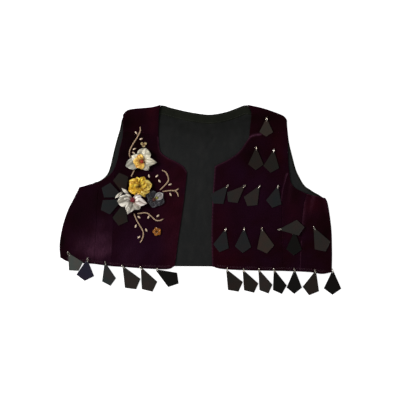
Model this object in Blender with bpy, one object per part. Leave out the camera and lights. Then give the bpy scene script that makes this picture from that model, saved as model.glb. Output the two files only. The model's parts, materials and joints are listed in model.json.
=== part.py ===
"""Cropped sleeveless folk vest, laid flat on its back on a surface at z = 0.

The velvet back lies on the surface and turns over the shoulders and round the sides to the forward
seams. Its lining lies on it, and the fronts lie on the lining. Kite-shaped mirror plates hang from
rings on the left front and along both hems, and a fan of plates and satin flowers is sewn to the
right front. Left and right are the wearer's: the wearer's left is on +X, and the shoulders on +Y.
Plan tables are in millimetres, everything else is in metres.
"""

import itertools
import math
from dataclasses import dataclass

import bmesh
import bpy
import numpy as np
from mathutils import Matrix, Vector
from mathutils.bvhtree import BVHTree

MM = 0.001
GAP = 0.3 * MM

# Cloth walls and the heights at which they lie.
VELVET = 1.6 * MM
LINING = 0.9 * MM
LINING_Z = VELVET + GAP
FRONT_Z = LINING_Z + LINING + GAP
SIDE_FOLD_RADIUS = 4.0 * MM
SHOULDER_FOLD_RADIUS = 3.6 * MM
SIDE_FOLD_REACH = 42 * MM
SHOULDER_FOLD_REACH = 26 * MM
NECK_FACING_WIDTH = 17 * MM
BINDING_WIDTH = 3.0 * MM
EDGE_INSET = 0.4 * MM

# Mirror plates: a kite with a blunt tip, hung by a ring whose stitches are the hinge.
PLATE = 1.2 * MM
PLATE_CLEARANCE = 0.4 * MM
PLATE_TIP = 3.0 * MM
PLATE_SHOULDER = 0.73
RING_REACH = 4.5 * MM
RING_SLACK = 2.0 * MM
FAN_CENTRE = (-141.0, 3.0)
TUCKED_SWING = 10  # degrees each way that a tucked plate turns in its own plane
SWING_STOPS = 5

# How a plate's place is found: spots along and across it, the least area in square metres that
# three of them span, and the weight of a stitch that stands above its ring's slack.
COARSE_SPOTS = (7, 3)
FINE_SPOTS = (90, 19)
SMALLEST_SPAN = 1e-6
STITCH_WEIGHT = 4
ROUNDING = 1e-9
OVERHEAD = 100 * MM

# How much of a flower's reach its petals' notches take, and how high its petals' tips stand.
PETAL_NOTCH = 0.28
PETAL_LIFT = 0.25

# Room between the lining's edge and the folds and hem round it.
LINING_CLEARANCE = 2.0 * MM

# Faces along each stretch of cloth.
FOLD_STEPS = 5
STRIP_STEPS = 4
LOW_ROWS = 10
HIGH_ROWS = 6
CENTRE_COLUMNS = 8
SIDE_COLUMNS = 3
SHOULDER_COLUMNS = CENTRE_COLUMNS
NECK_STEPS = 12
FLOWER_RINGS = 4
FLOWER_STEPS = 20
CURVE_SAMPLES = 24


@dataclass(frozen=True)
class Half:
    """The plan curves of one half of the vest, in mm. Each is a few points that a smooth curve joins."""

    side: str
    sign: int
    side_fold: tuple  # outer edge, hem to underarm
    back_armhole: tuple  # underarm to shoulder
    shoulder_fold: tuple  # outer edge, neck to armhole
    strap_neck: tuple  # shoulder fold to shoulder seam
    strap_armhole: tuple
    shoulder_seam: tuple  # neck to armhole
    neck: tuple  # front corner to shoulder seam
    front_edge: tuple  # hem to front corner
    front_armhole: tuple  # princess seam to shoulder seam
    side_armhole: tuple  # princess seam to side seam
    under_arm: tuple  # side seam to side fold
    princess: tuple  # hem to armhole
    side_seam: tuple  # hem to armhole
    hem_centre: tuple  # front edge to princess seam
    hem_side: tuple  # princess seam to side seam
    hem_wrap: tuple  # side seam to side fold


LEFT = Half(
    side="left",
    sign=1,
    side_fold=((251, -138), (251.5, -100), (250.5, -62), (247.5, -33), (243, -7), (238.5, 3)),
    back_armhole=(
        (226.5, 8), (212.5, 16), (198.5, 27.5), (189.5, 42.5), (182.5, 58), (175.5, 84.5),
        (170, 107.5), (167, 132), (166, 145),
    ),
    shoulder_fold=((91, 180), (120.5, 173.5), (150.5, 163), (161, 157.5), (165.5, 150)),
    strap_neck=((91, 180), (98, 166), (96, 141.5), (94, 118)),
    strap_armhole=((165.5, 150), (166.5, 127.5)),
    shoulder_seam=((94, 118), (119, 124.5), (143, 126.5), (166.5, 127.5)),
    neck=((28.5, 62), (32.5, 65), (56, 77), (74.5, 90.5), (87, 107.5), (94, 118)),
    front_edge=((23.5, -127.5), (22.5, -75), (23, -29.5), (25.5, 20), (28.5, 62)),
    front_armhole=((170, 51.5), (168.5, 65.5), (167.5, 89), (166.5, 127.5)),
    side_armhole=((170, 51.5), (172, 35), (176.5, 26.5), (184.5, 19.5), (195.5, 14.5), (203.5, 10.5)),
    under_arm=((203.5, 10.5), (220, 6.5), (238.5, 3)),
    princess=((158, -136), (156, -58), (157, 6.5), (164, 37), (170, 51.5)),
    side_seam=((189.5, -137), (192.5, -67.5), (197.5, -10.5), (203.5, 10.5)),
    hem_centre=((23.5, -127.5), (41, -132), (81, -134.5), (158, -136)),
    hem_side=((158, -136), (189.5, -137)),
    hem_wrap=((189.5, -137), (212.5, -138.5), (232, -141.5), (251, -138)),
)

RIGHT = Half(
    side="right",
    sign=-1,
    side_fold=(
        (-265, -110), (-266.6, -90), (-264.5, -69.5), (-259, -44.5), (-250.5, -20), (-241, -1),
        (-228.5, 23.5),
    ),
    back_armhole=(
        (-208.5, 28.5), (-191, 35.5), (-178.5, 45), (-171.5, 58.5), (-163.5, 92), (-157.5, 115),
        (-152, 133.5), (-148.5, 152),
    ),
    shoulder_fold=((-74.5, 180), (-92.5, 175.5), (-125.5, 172.5), (-139, 169), (-146, 160.5)),
    strap_neck=((-74.5, 180), (-77.5, 166), (-78.5, 141.5), (-78.5, 119)),
    strap_armhole=((-146, 160.5), (-146, 130)),
    shoulder_seam=((-78.5, 119), (-100.5, 125.5), (-125, 129), (-146, 130)),
    neck=((-24.5, 52), (-31.5, 63), (-46, 72), (-61, 79.5), (-73, 88.5), (-77, 99), (-78.5, 119)),
    front_edge=((-47.5, -126.5), (-39, -62.5), (-31.5, -12.5), (-26.5, 29.5), (-24.5, 52)),
    front_armhole=((-161, 62), (-156.5, 76), (-152, 98), (-147.5, 115), (-146, 130)),
    side_armhole=((-161, 62), (-167, 51.5), (-177.5, 42), (-190.5, 33)),
    under_arm=((-190.5, 33), (-208.5, 28), (-228.5, 23.5)),
    princess=((-168.5, -127), (-165, -58), (-163.5, 6.5), (-162, 37), (-161, 62)),
    side_seam=((-201, -122.5), (-197, -58), (-193.5, 8.5), (-190.5, 33)),
    hem_centre=((-47.5, -126.5), (-61, -132.5), (-101, -131.5), (-136.5, -129), (-168.5, -127)),
    hem_side=((-168.5, -127), (-201, -122.5)),
    hem_wrap=((-201, -122.5), (-227.5, -120.5), (-250, -118), (-265, -110)),
)

HALVES = (LEFT, RIGHT)
NECKLINE = ((-60.5, 176), (-26, 167.5), (4, 162.5), (23, 161.5), (50, 166.5), (76.5, 176))
BACK_HEM = (
    (-238, -115.5), (-189.5, -119.5), (-94.5, -125.5), (-41.5, -127), (27, -127.5), (114.5, -130.5),
    (209.5, -135),
)

# Soft ridges that lift the fronts off the lining: from, to, height and half width, in mm.
RIDGES = (
    # x0, y0, x1, y1, height, width
    (60, 60, 60, -40, 0.8, 16),
    (128, 70, 120, -30, 1.0, 14),
    (100, -70, 104, -136, 1.0, 12),
    (176, 4, 174, -136, 1.1, 9),
    (-58, 60, -76, -30, 0.9, 16),
    (-120, 80, -136, 40, 0.7, 12),
    (-112, -60, -120, -132, 1.1, 13),
    (-180, 20, -184, -120, 1.0, 9),
    (-216, -60, -236, -112, 0.8, 10),
)

# Plates hung from rings: the ring's stitch, the way the plate points (degrees from +X), and the
# plate's own length and width, in mm. A tucked plate lies under its neighbour and turns in its
# own plane, because it can't lift.
PLATE_COLUMNS = ("name", "x", "y", "heading", "length", "width", "tucked")
PLATES = (
    ("plate_front_1", 126.5, 156.0, -91, 32, 26, False),
    ("plate_front_2", 107.0, 100.5, -91, 40, 29, False),
    ("plate_front_3", 140.5, 96.0, -98, 41, 30, False),
    ("plate_front_4", 54.5, 28.0, -129, 41, 30, False),
    ("plate_front_5", 86.5, 27.5, -136, 41, 28, False),
    ("plate_front_6", 114.5, 27.5, -121, 42, 30, False),
    ("plate_front_7", 149.0, 27.5, -105, 40, 30, False),
    ("plate_front_8", 49.5, -54.0, -105, 43, 30, False),
    ("plate_front_9", 84.0, -53.0, -93, 44, 31, False),
    ("plate_front_10", 117.0, -53.0, -78, 46, 33, False),
    ("plate_front_12", 180.0, -58.5, -92, 43, 29, True),
    ("plate_front_11", 148.0, -57.5, 6, 46, 30, False),
    ("plate_front_13", 215.5, -51.5, -64, 48, 33, False),
    ("plate_hem_left_1", 49.3, -130.3, -61.5, 47, 32.5, False),
    ("plate_hem_left_2", 80.8, -131.3, -64, 47, 30.5, False),
    ("plate_hem_left_3", 110.7, -130.8, -67.5, 48, 27, False),
    ("plate_hem_left_4", 140.2, -130.8, -72, 47.3, 28, False),
    ("plate_hem_left_5", 180.0, -130.2, -90.6, 45.3, 29.5, False),
    ("plate_hem_left_6", 220.7, -132.6, -104.5, 47.3, 32.5, False),
    ("plate_hem_left_7", 252.5, -131.5, -91, 45, 33.5, False),
    ("plate_hem_right_1", -250.5, -100.0, -60, 36.5, 31, True),
    ("plate_hem_right_2", -213.5, -111.0, -97, 39.5, 34.5, False),
    ("plate_hem_right_3", -180.7, -117.0, -77, 44.5, 27.5, False),
    ("plate_hem_right_4", -147.6, -124.2, -60.2, 49.5, 34.5, False),
    ("plate_hem_right_5", -112.8, -126.3, -65, 50, 33, False),
    ("plate_hem_right_6", -86.3, -131.5, -31.5, 49.8, 32.5, False),
)

# Plates of the sewn-down fan, which point away from its centre.
FAN_COLUMNS = ("name", "heading", "start", "length", "width")
FAN = (
    ("plate_fan_1", 104, 7, 42, 30),
    ("plate_fan_2", 157, 7, 42, 30),
    ("plate_fan_3", 206, 9, 43, 30),
    ("plate_fan_4", 256, 11, 43, 30),
)

# Flowers: centre, half length and half width in mm, turn in degrees, petals and height in mm.
FLOWER_COLUMNS = ("name", "finish", "x", "y", "long", "wide", "turn", "petals", "height")
FLOWERS = (
    ("flower_white_upper", "satin_white", -111.5, 74, 29, 20.5, 8, 5, 9),
    ("flower_gold", "satin_gold", -115, 23, 23, 19, 8, 5, 10),
    ("flower_white_lower", "satin_white", -133, -14, 27, 15.5, -6, 5, 9),
    ("flower_sheer", "organza_dark", -85, 0, 17, 17, 0, 5, 6),
    ("flower_small_orange", "satin_orange", -81.5, -61, 8.5, 8.5, 18, 5, 3.5),
    ("flower_small_cream", "satin_cream", -106, 104.5, 7, 4.5, 0, 3, 3),
)

FINISH_COLUMNS = ("name", "colour", "roughness", "metallic")
FINISHES = (
    ("velvet", (0.020, 0.004, 0.010), 0.85, 0.0),
    ("lining", (0.013, 0.015, 0.014), 0.9, 0.0),
    ("edging", (0.010, 0.011, 0.008), 0.8, 0.0),
    ("mirror_plastic", (0.035, 0.035, 0.032), 0.12, 0.9),
    ("satin_white", (0.80, 0.78, 0.72), 0.5, 0.0),
    ("satin_gold", (0.80, 0.52, 0.06), 0.5, 0.0),
    ("organza_dark", (0.030, 0.030, 0.035), 0.5, 0.0),
    ("satin_orange", (0.62, 0.33, 0.07), 0.5, 0.0),
    ("satin_cream", (0.75, 0.55, 0.28), 0.5, 0.0),
)

# --------------------------------------------------------------------------- curves


def smooth(points, steps):
    """steps + 1 points, evenly spaced along a Catmull-Rom curve through the given points."""
    knots = np.asarray(points, float)
    if len(knots) == 2:
        shares = np.linspace(0, 1, steps + 1)[:, None]
        return knots[0] * (1 - shares) + knots[1] * shares
    ends = np.vstack([2 * knots[0] - knots[1], knots, 2 * knots[-1] - knots[-2]])
    t = np.linspace(0, 1, CURVE_SAMPLES, endpoint=False)[:, None]
    pieces = []
    for a, b, c, d in zip(ends, ends[1:], ends[2:], ends[3:]):
        bend, twist = 2 * a - 5 * b + 4 * c - d, 3 * b - 3 * c + d - a
        pieces.append((2 * b + (c - a) * t + bend * t**2 + twist * t**3) / 2)
    dense = np.vstack([*pieces, knots[-1:]])
    walked = np.concatenate([[0], np.cumsum(np.linalg.norm(np.diff(dense, axis=0), axis=1))])
    at = np.linspace(0, walked[-1], steps + 1)
    return np.column_stack([np.interp(at, walked, dense[:, k]) for k in (0, 1)])


def to_left_of(line):
    """Unit vectors pointing left of a line's direction, one for each of its points."""
    along = np.gradient(line, axis=0)
    along /= np.linalg.norm(along, axis=1)[:, None]
    return np.column_stack([-along[:, 1], along[:, 0]])


def joined(*lines):
    """Lines that follow each other, with the points that they share taken once."""
    return np.vstack([lines[0], *(line[1:] for line in lines[1:])])


def coons(bottom, top, left, right):
    """A grid of points between four edges, rows from bottom to top and columns from left to right."""
    u = np.linspace(0, 1, len(bottom))[None, :, None]
    v = np.linspace(0, 1, len(left))[:, None, None]
    across = (1 - v) * bottom[None] + v * top[None]
    along = (1 - u) * left[:, None] + u * right[:, None]
    corners = (
        (1 - u) * (1 - v) * bottom[0] + u * (1 - v) * bottom[-1] + (1 - u) * v * top[0] + u * v * top[-1]
    )
    return across + along - corners


# --------------------------------------------------------------------------- how the cloth lies


class Folds:
    """The centre lines that the back turns over at the sides and the shoulders."""

    def __init__(self):
        self.side, self.side_out = {}, {}
        self.shoulder, self.shoulder_out = {}, {}
        for half in HALVES:
            edge = smooth(half.side_fold, LOW_ROWS) * MM
            out = to_left_of(edge) * -half.sign
            self.side[half.side] = edge - out * SIDE_FOLD_RADIUS
            self.side_out[half.side] = out
            edge = smooth(half.shoulder_fold, SHOULDER_COLUMNS) * MM
            out = to_left_of(edge) * half.sign
            self.shoulder[half.side] = edge - out * SHOULDER_FOLD_RADIUS
            self.shoulder_out[half.side] = out


FOLDS = Folds()


def segment_distance(x, y, x0, y0, x1, y1):
    dx, dy = x1 - x0, y1 - y0
    share = np.clip(((x - x0) * dx + (y - y0) * dy) / (dx * dx + dy * dy), 0, 1)
    return np.hypot(x - x0 - share * dx, y - y0 - share * dy)


def underside(x, y):
    """Height of the underside of the upper layer: it clears the lining, and rises softly to the
    folds and over the ridges."""
    x, y = np.asarray(x, float), np.asarray(y, float)
    side_height = 2 * SIDE_FOLD_RADIUS - VELVET - FRONT_Z
    shoulder_height = 2 * SHOULDER_FOLD_RADIUS - VELVET - FRONT_Z
    rise = np.zeros_like(x)
    for half in HALVES:
        fold = FOLDS.side[half.side]
        away = half.sign * (np.interp(y, fold[:, 1], fold[:, 0]) - x)
        rise = np.maximum(rise, side_height * np.exp(-((np.maximum(away, 0) / SIDE_FOLD_REACH) ** 2)))
        fold = FOLDS.shoulder[half.side]
        order = np.argsort(fold[:, 0])
        away = np.interp(x, fold[order, 0], fold[order, 1]) - y
        over = np.exp(-((np.maximum(away, 0) / SHOULDER_FOLD_REACH) ** 2))
        rise = np.maximum(rise, np.where(half.sign * x > 0, shoulder_height * over, 0))
    for x0, y0, x1, y1, height, width in RIDGES:
        away = segment_distance(x, y, x0 * MM, y0 * MM, x1 * MM, y1 * MM)
        rise = rise + height * MM * np.exp(-((away / (width * MM)) ** 2)) * (1 - rise / side_height)
    return FRONT_Z + rise


def upper_layer(grid):
    """The inner and outer points of velvet that lies over the plan points of a grid."""
    x, y = grid[..., 0], grid[..., 1]
    step = 0.5 * MM
    slope_x = (underside(x + step, y) - underside(x - step, y)) / (2 * step)
    slope_y = (underside(x, y + step) - underside(x, y - step)) / (2 * step)
    normal = np.stack([-slope_x, -slope_y, np.ones_like(x)], axis=-1)
    normal /= np.linalg.norm(normal, axis=-1)[..., None]
    inner = np.stack([x, y, underside(x, y)], axis=-1)
    return inner, inner + VELVET * normal


# --------------------------------------------------------------------------- meshes


def material(name, colour, roughness, metallic):
    made = bpy.data.materials.new(name)
    made.use_nodes = True
    shader = made.node_tree.nodes["Principled BSDF"]
    shader.inputs["Base Color"].default_value = (*colour, 1)
    shader.inputs["Roughness"].default_value = roughness
    shader.inputs["Metallic"].default_value = metallic
    return made


def add_object(name, bm, finish):
    bmesh.ops.recalc_face_normals(bm, faces=bm.faces)
    mesh = bpy.data.meshes.new(name)
    bm.to_mesh(mesh)
    bm.free()
    mesh.materials.append(finish)
    made = bpy.data.objects.new(name, mesh)
    bpy.context.scene.collection.objects.link(made)
    return made


def grid_faces(rows, columns, start=0):
    faces = []
    for r in range(rows):
        for c in range(columns):
            a = start + r * (columns + 1) + c
            faces.append((a, a + 1, a + columns + 2, a + columns + 1))
    return faces


def closed_wall(name, inner, outer, faces, finish):
    """A closed body between two skins of the same faces, with a rim along their open edges."""
    bm = bmesh.new()
    count = len(inner)
    verts = [bm.verts.new(p) for p in (*inner, *outer)]
    uses = {}
    for face in faces:
        bm.faces.new([verts[i] for i in face])
        bm.faces.new([verts[i + count] for i in reversed(face)])
        for a, b in zip(face, (*face[1:], face[0])):
            uses.setdefault(frozenset((a, b)), []).append((a, b))
    for shared in uses.values():
        if len(shared) == 1:
            a, b = shared[0]
            bm.faces.new((verts[b], verts[a], verts[a + count], verts[b + count]))
    return add_object(name, bm, finish)


def flat_slab(name, outline, bottom, thickness, finish):
    """A flat sheet cut to an outline."""
    lower = [(*p, bottom) for p in outline]
    upper = [(*p, bottom + thickness) for p in outline]
    return closed_wall(name, lower, upper, [tuple(range(len(outline)))], finish)


# --------------------------------------------------------------------------- cloth


def front_centre(half, finish):
    """The centre front, from its neck and front edge to the princess seam and the armhole."""
    seam = np.array([half.sign * GAP / 2, 0])
    inner_edge = joined(smooth(half.front_edge, LOW_ROWS), smooth(half.neck, HIGH_ROWS)) * MM
    outer_edge = joined(smooth(half.princess, LOW_ROWS), smooth(half.front_armhole, HIGH_ROWS)) * MM
    outer_edge = outer_edge - seam
    hem = smooth(half.hem_centre, CENTRE_COLUMNS) * MM
    shoulder = smooth(half.shoulder_seam, CENTRE_COLUMNS) * MM - (0, GAP / 2)
    inner_edge[0], inner_edge[-1] = hem[0], shoulder[0]
    hem[-1], shoulder[-1] = outer_edge[0], outer_edge[-1] - (0, GAP / 2)
    outer_edge[-1] = shoulder[-1]
    grid = coons(hem, shoulder, inner_edge, outer_edge)
    inner, outer = (skin.reshape(-1, 3) for skin in upper_layer(grid))
    faces = grid_faces(LOW_ROWS + HIGH_ROWS, CENTRE_COLUMNS)
    return closed_wall(f"front_centre_{half.side}", inner, outer, faces, finish)


def front_side(half, finish):
    """The side front, from the princess seam to the side seam."""
    seam = np.array([half.sign * GAP / 2, 0])
    near = smooth(half.princess, LOW_ROWS) * MM + seam
    far = smooth(half.side_seam, LOW_ROWS) * MM - seam
    hem = smooth(half.hem_side, SIDE_COLUMNS) * MM
    armhole = smooth(half.side_armhole, SIDE_COLUMNS) * MM
    hem[0], hem[-1], armhole[0], armhole[-1] = near[0], far[0], near[-1], far[-1]
    grid = coons(hem, armhole, near, far)
    inner, outer = (skin.reshape(-1, 3) for skin in upper_layer(grid))
    faces = grid_faces(LOW_ROWS, SIDE_COLUMNS)
    return closed_wall(f"front_side_{half.side}", inner, outer, faces, finish)


def turned_over(line, outward, strip):
    """Inner and outer points of velvet that turns over a fold line at one edge of a strip of the
    upper layer. Each has a row for each point of the line, from the surface up and along the strip."""
    inner_strip, outer_strip = upper_layer(strip)
    centre_z = (inner_strip[:, 0, 2] + VELVET) / 2
    inner_radius = centre_z - VELVET
    inner_rows, outer_rows = [], []
    for step in range(1, FOLD_STEPS):
        angle = -math.pi / 2 + math.pi * step / FOLD_STEPS
        for radius, rows in ((inner_radius, inner_rows), (inner_radius + VELVET, outer_rows)):
            plan = line + outward * (radius * math.cos(angle))[:, None]
            rows.append(np.column_stack([plan, centre_z + radius * math.sin(angle)]))
    inner = np.concatenate([np.stack(inner_rows, axis=1), inner_strip], axis=1)
    outer = np.concatenate([np.stack(outer_rows, axis=1), outer_strip], axis=1)
    return inner, outer


def side_strip(half):
    """Plan points of the back's strip on the front, from the side fold in to the side seam."""
    fold = FOLDS.side[half.side]
    seam = smooth(half.side_seam, LOW_ROWS) * MM + (half.sign * GAP / 2, 0)
    hem = smooth(half.hem_wrap, STRIP_STEPS)[::-1] * MM
    armhole = smooth(half.under_arm, STRIP_STEPS)[::-1] * MM
    hem[0], hem[-1], armhole[0], armhole[-1] = fold[0], seam[0], fold[-1], seam[-1]
    return coons(hem, armhole, fold, seam)


def shoulder_strip(half):
    """Plan points of the back's strip on the front, from the shoulder fold down to the seam."""
    fold = FOLDS.shoulder[half.side]
    seam = smooth(half.shoulder_seam, SHOULDER_COLUMNS) * MM + (0, GAP / 2)
    neck = smooth(half.strap_neck, STRIP_STEPS) * MM
    armhole = smooth(half.strap_armhole, STRIP_STEPS) * MM
    neck[0], neck[-1], armhole[0], armhole[-1] = fold[0], seam[0], fold[-1], seam[-1]
    return coons(neck, armhole, fold, seam)


def back_outline():
    """The stretches of the lower layer's outline, counter-clockwise from the right side's hem."""
    hem = np.array(BACK_HEM) * MM
    stretches = [("hem", np.vstack([FOLDS.side["right"][:1], hem, FOLDS.side["left"][:1]]))]
    for half in HALVES:
        side, shoulder = FOLDS.side[half.side], FOLDS.shoulder[half.side]
        armhole = smooth(half.back_armhole, LOW_ROWS) * MM
        ring = [
            ("side", side),
            ("armhole", np.vstack([side[-1:], armhole[:-1], shoulder[-1:]])),
            ("shoulder", shoulder[::-1]),
        ]
        if half is LEFT:
            stretches += ring
            neck = np.array(NECKLINE)[::-1] * MM
            neck = np.vstack([shoulder[:1], neck, FOLDS.shoulder["right"][:1]])
            stretches.append(("neck", smooth(neck, NECK_STEPS)))
        else:
            stretches += [(name, line[::-1]) for name, line in reversed(ring)]
    return stretches


def back(finish):
    """The velvet back: its flat lower layer, with the strips that turn over the sides and shoulders."""
    inner, outer, faces, places = [], [], [], {}

    def point(low, high):
        key = tuple(np.round(low, 7))
        if key not in places:
            places[key] = len(inner)
            inner.append(low)
            outer.append(high)
        return places[key]

    def plan_point(p):
        return point((*p, VELVET), (*p, 0.0))

    outline = []
    for _, line in back_outline():
        outline += [plan_point(p) for p in line]
    outline = [n for k, n in enumerate(outline) if n != outline[k - 1]]
    faces.append(tuple(outline))
    for half in HALVES:
        for line, outward, strip in (
            (FOLDS.side[half.side], FOLDS.side_out[half.side], side_strip(half)),
            (FOLDS.shoulder[half.side], FOLDS.shoulder_out[half.side], shoulder_strip(half)),
        ):
            low, high = turned_over(line, outward, strip)
            rows = []
            for r, p in enumerate(line):
                rows.append([plan_point(p), *(point(a, b) for a, b in zip(low[r], high[r]))])
            for one, other in zip(rows, rows[1:]):
                for k in range(len(one) - 1):
                    faces.append((one[k], one[k + 1], other[k + 1], other[k]))
    return closed_wall("back", inner, outer, faces, finish)


def inset_by(line, distance):
    """A line moved to its left, which is inwards on an outline that runs counter-clockwise."""
    return line + to_left_of(line) * distance


def lining_and_edges(lining, edging):
    """The back lining, and in the same layer the neck facing and the armhole bindings at its edges."""
    lines = {}
    for name, line in back_outline():
        lines.setdefault(name, []).append(line)
    left_armhole, right_armhole = lines["armhole"]
    neck = lines["neck"][0]
    facing_top = inset_by(neck, EDGE_INSET)
    facing_foot = inset_by(neck, EDGE_INSET + NECK_FACING_WIDTH)
    facing_foot[[0, -1], 1] = facing_top[[0, -1], 1] - NECK_FACING_WIDTH
    facing = np.vstack([facing_top, facing_foot[::-1]])
    made = [flat_slab("neck_facing", facing, LINING_Z, LINING, edging)]
    inner_armholes = []
    for side, line in (("left", left_armhole), ("right", right_armhole)):
        strip = line[1:-1]
        edge = inset_by(strip, EDGE_INSET)
        foot = inset_by(strip, EDGE_INSET + BINDING_WIDTH)
        binding = np.vstack([edge, foot[::-1]])
        made.append(flat_slab(f"armhole_binding_{side}", binding, LINING_Z, LINING, edging))
        inner_armholes.append(inset_by(strip, EDGE_INSET + BINDING_WIDTH + GAP))
    hem = lines["hem"][0][1:-1] + (0, LINING_CLEARANCE)
    left_side = inset_by(lines["side"][0], LINING_CLEARANCE)[:-1]
    right_side = inset_by(lines["side"][1], LINING_CLEARANCE)[1:]
    left_shoulder = inset_by(lines["shoulder"][0], LINING_CLEARANCE)[:-1]
    right_shoulder = inset_by(lines["shoulder"][1], LINING_CLEARANCE)[1:]
    below_facing = facing_foot + (0, -GAP)
    outline = np.vstack(
        [hem, left_side, inner_armholes[0], left_shoulder, below_facing, right_shoulder,
         inner_armholes[1], right_side]
    )
    made.append(flat_slab("back_lining", outline, LINING_Z, LINING, lining))
    return made


# --------------------------------------------------------------------------- what lies on the cloth


class Surface:
    """What has been laid so far, seen from above."""

    def __init__(self):
        self.points, self.faces = [], []

    def add(self, made):
        start = len(self.points)
        world = made.matrix_basis
        self.points += [world @ v.co for v in made.data.vertices]
        self.faces += [[start + i for i in face.vertices] for face in made.data.polygons]
        self.tree = BVHTree.FromPolygons(self.points, self.faces)

    def height(self, x, y):
        """The height of what is on top at a place, or 0 beside the vest."""
        hit = self.tree.ray_cast(Vector((x, y, OVERHEAD)), Vector((0, 0, -1)))[0]
        return hit.z if hit else 0.0


def kite(length, width, start):
    """Corners of a plate in its own plane, from its blunt tip round, with +X the way that it points."""
    return (
        (start, -PLATE_TIP / 2),
        (start + PLATE_SHOULDER * length, -width / 2),
        (start + length, 0),
        (start + PLATE_SHOULDER * length, width / 2),
        (start, PLATE_TIP / 2),
    )


def spots_under(length, width, start, swing, along, across):
    """Places spread over a plate and its stitch, in its own plane, wherever its swing takes them."""
    spots = [(0.0, 0.0)]
    for share in np.linspace(0, 1, along):
        if share < PLATE_SHOULDER:
            half = PLATE_TIP / 2 + (width - PLATE_TIP) / 2 * share / PLATE_SHOULDER
        else:
            half = width / 2 * (1 - share) / (1 - PLATE_SHOULDER)
        for side in np.linspace(-1, 1, across):
            spots.append((start + share * length, side * half))
    spots = np.array(spots)
    turned = []
    for angle in swing:
        cos, sin = math.cos(angle), math.sin(angle)
        turned.append(spots @ np.array([[cos, sin], [-sin, cos]]))
    return np.unique(np.round(np.vstack(turned), 7), axis=0)


def rest_plane(surface, x, y, heading, length, width, start, swing):
    """The plane z = a + b u + c v that a plate's underside settles in, with u along the plate and v
    across it. Of the planes through three spots that stay clear of everything below, it is the
    lowest at the plate's middle, where a stitch above the ring's slack counts against a plane."""
    cos, sin = math.cos(heading), math.sin(heading)

    def lifted(spots):
        heights = [surface.height(x + u * cos - v * sin, y + u * sin + v * cos) for u, v in spots]
        return np.where(np.array(heights) > 0, np.array(heights) + PLATE_CLEARANCE, 0.0)

    few_turns = (swing[0], swing[len(swing) // 2], swing[-1])
    spots = spots_under(length, width, start, few_turns, *COARSE_SPOTS)
    heights = lifted(spots)
    middle = np.array([1, start + PLATE_SHOULDER * length, 0])
    highest_stitch = lifted([(0.0, 0.0)])[0] + RING_SLACK
    best, lowest = None, math.inf
    basis = np.column_stack([np.ones(len(spots)), spots])
    for three in itertools.combinations(range(len(spots)), 3):
        rows = basis[list(three)]
        if abs(np.linalg.det(rows)) < SMALLEST_SPAN:
            continue
        plane = np.linalg.solve(rows, heights[list(three)])
        level = middle @ plane + STITCH_WEIGHT * max(0.0, plane[0] - highest_stitch)
        if level < lowest and (basis @ plane >= heights - ROUNDING).all():
            best, lowest = plane, level
    spots = spots_under(length, width, start, swing, *FINE_SPOTS)
    short = lifted(spots) - np.column_stack([np.ones(len(spots)), spots]) @ best
    best[0] += max(0.0, short.max())
    return best


def plate(name, surface, x, y, heading, length, width, start, swing, finish):
    """A mirror plate on what it settles on, with its origin at its stitch and +X the way it points."""
    a, b, c = rest_plane(surface, x, y, heading, length, width, start, swing)
    cos, sin = math.cos(heading), math.sin(heading)
    forward = Vector((cos, sin, b)).normalized()
    across = Vector((-sin, cos, c))
    up = forward.cross(across).normalized()
    across = up.cross(forward)
    frame = Matrix((forward, across, up)).transposed().to_4x4()
    bm = bmesh.new()
    rings = []
    for z in (-PLATE / 2, PLATE / 2):
        rings.append([bm.verts.new((*p, z)) for p in kite(length, width, start)])
    bm.faces.new(rings[0])
    bm.faces.new(rings[1])
    for k in range(len(rings[0])):
        bm.faces.new((rings[0][k - 1], rings[0][k], rings[1][k], rings[1][k - 1]))
    made = add_object(name, bm, finish)
    rest = Matrix.Translation(Vector((x, y, a)) + up * PLATE / 2) @ frame
    for angle in swing:
        made.matrix_basis = rest @ Matrix.Rotation(angle, 4, "Z")
        surface.add(made)
    made.matrix_basis = rest


def flower(surface, name, x, y, long, wide, turn, petals, height, finish):
    """A plain domed body with a petalled outline, on the cloth and whatever else lies under it."""
    angle = 2 * np.pi * np.arange(FLOWER_STEPS) / FLOWER_STEPS
    reach = 1 - PETAL_NOTCH * (1 - np.cos(petals * angle)) / 2
    along, across = long * reach * np.cos(angle) * MM, wide * reach * np.sin(angle) * MM
    cos, sin = math.cos(math.radians(turn)), math.sin(math.radians(turn))
    outline = np.column_stack([along * cos - across * sin, along * sin + across * cos])
    middle = np.array([x, y]) * MM
    under = max(surface.height(*(middle + s * p)) for s in (0, 0.35, 0.7, 1) for p in outline)
    bm = bmesh.new()
    skins = []
    for ring in range(FLOWER_RINGS):
        rise = math.sin(ring / FLOWER_RINGS * math.pi / 2)
        lift = PETAL_LIFT + (1 - PETAL_LIFT) * rise if ring else 0
        inward = math.cos(max(ring - 1, 0) / FLOWER_RINGS * math.pi / 2)
        level = under + GAP + lift * height * MM
        skins.append([bm.verts.new((*(middle + inward * p), level)) for p in outline])
    bm.faces.new(skins[0])
    bm.faces.new(skins[-1])
    for one, other in zip(skins, skins[1:]):
        for k in range(FLOWER_STEPS):
            bm.faces.new((one[k - 1], one[k], other[k], other[k - 1]))
    made = add_object(name, bm, finish)
    surface.add(made)


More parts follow.
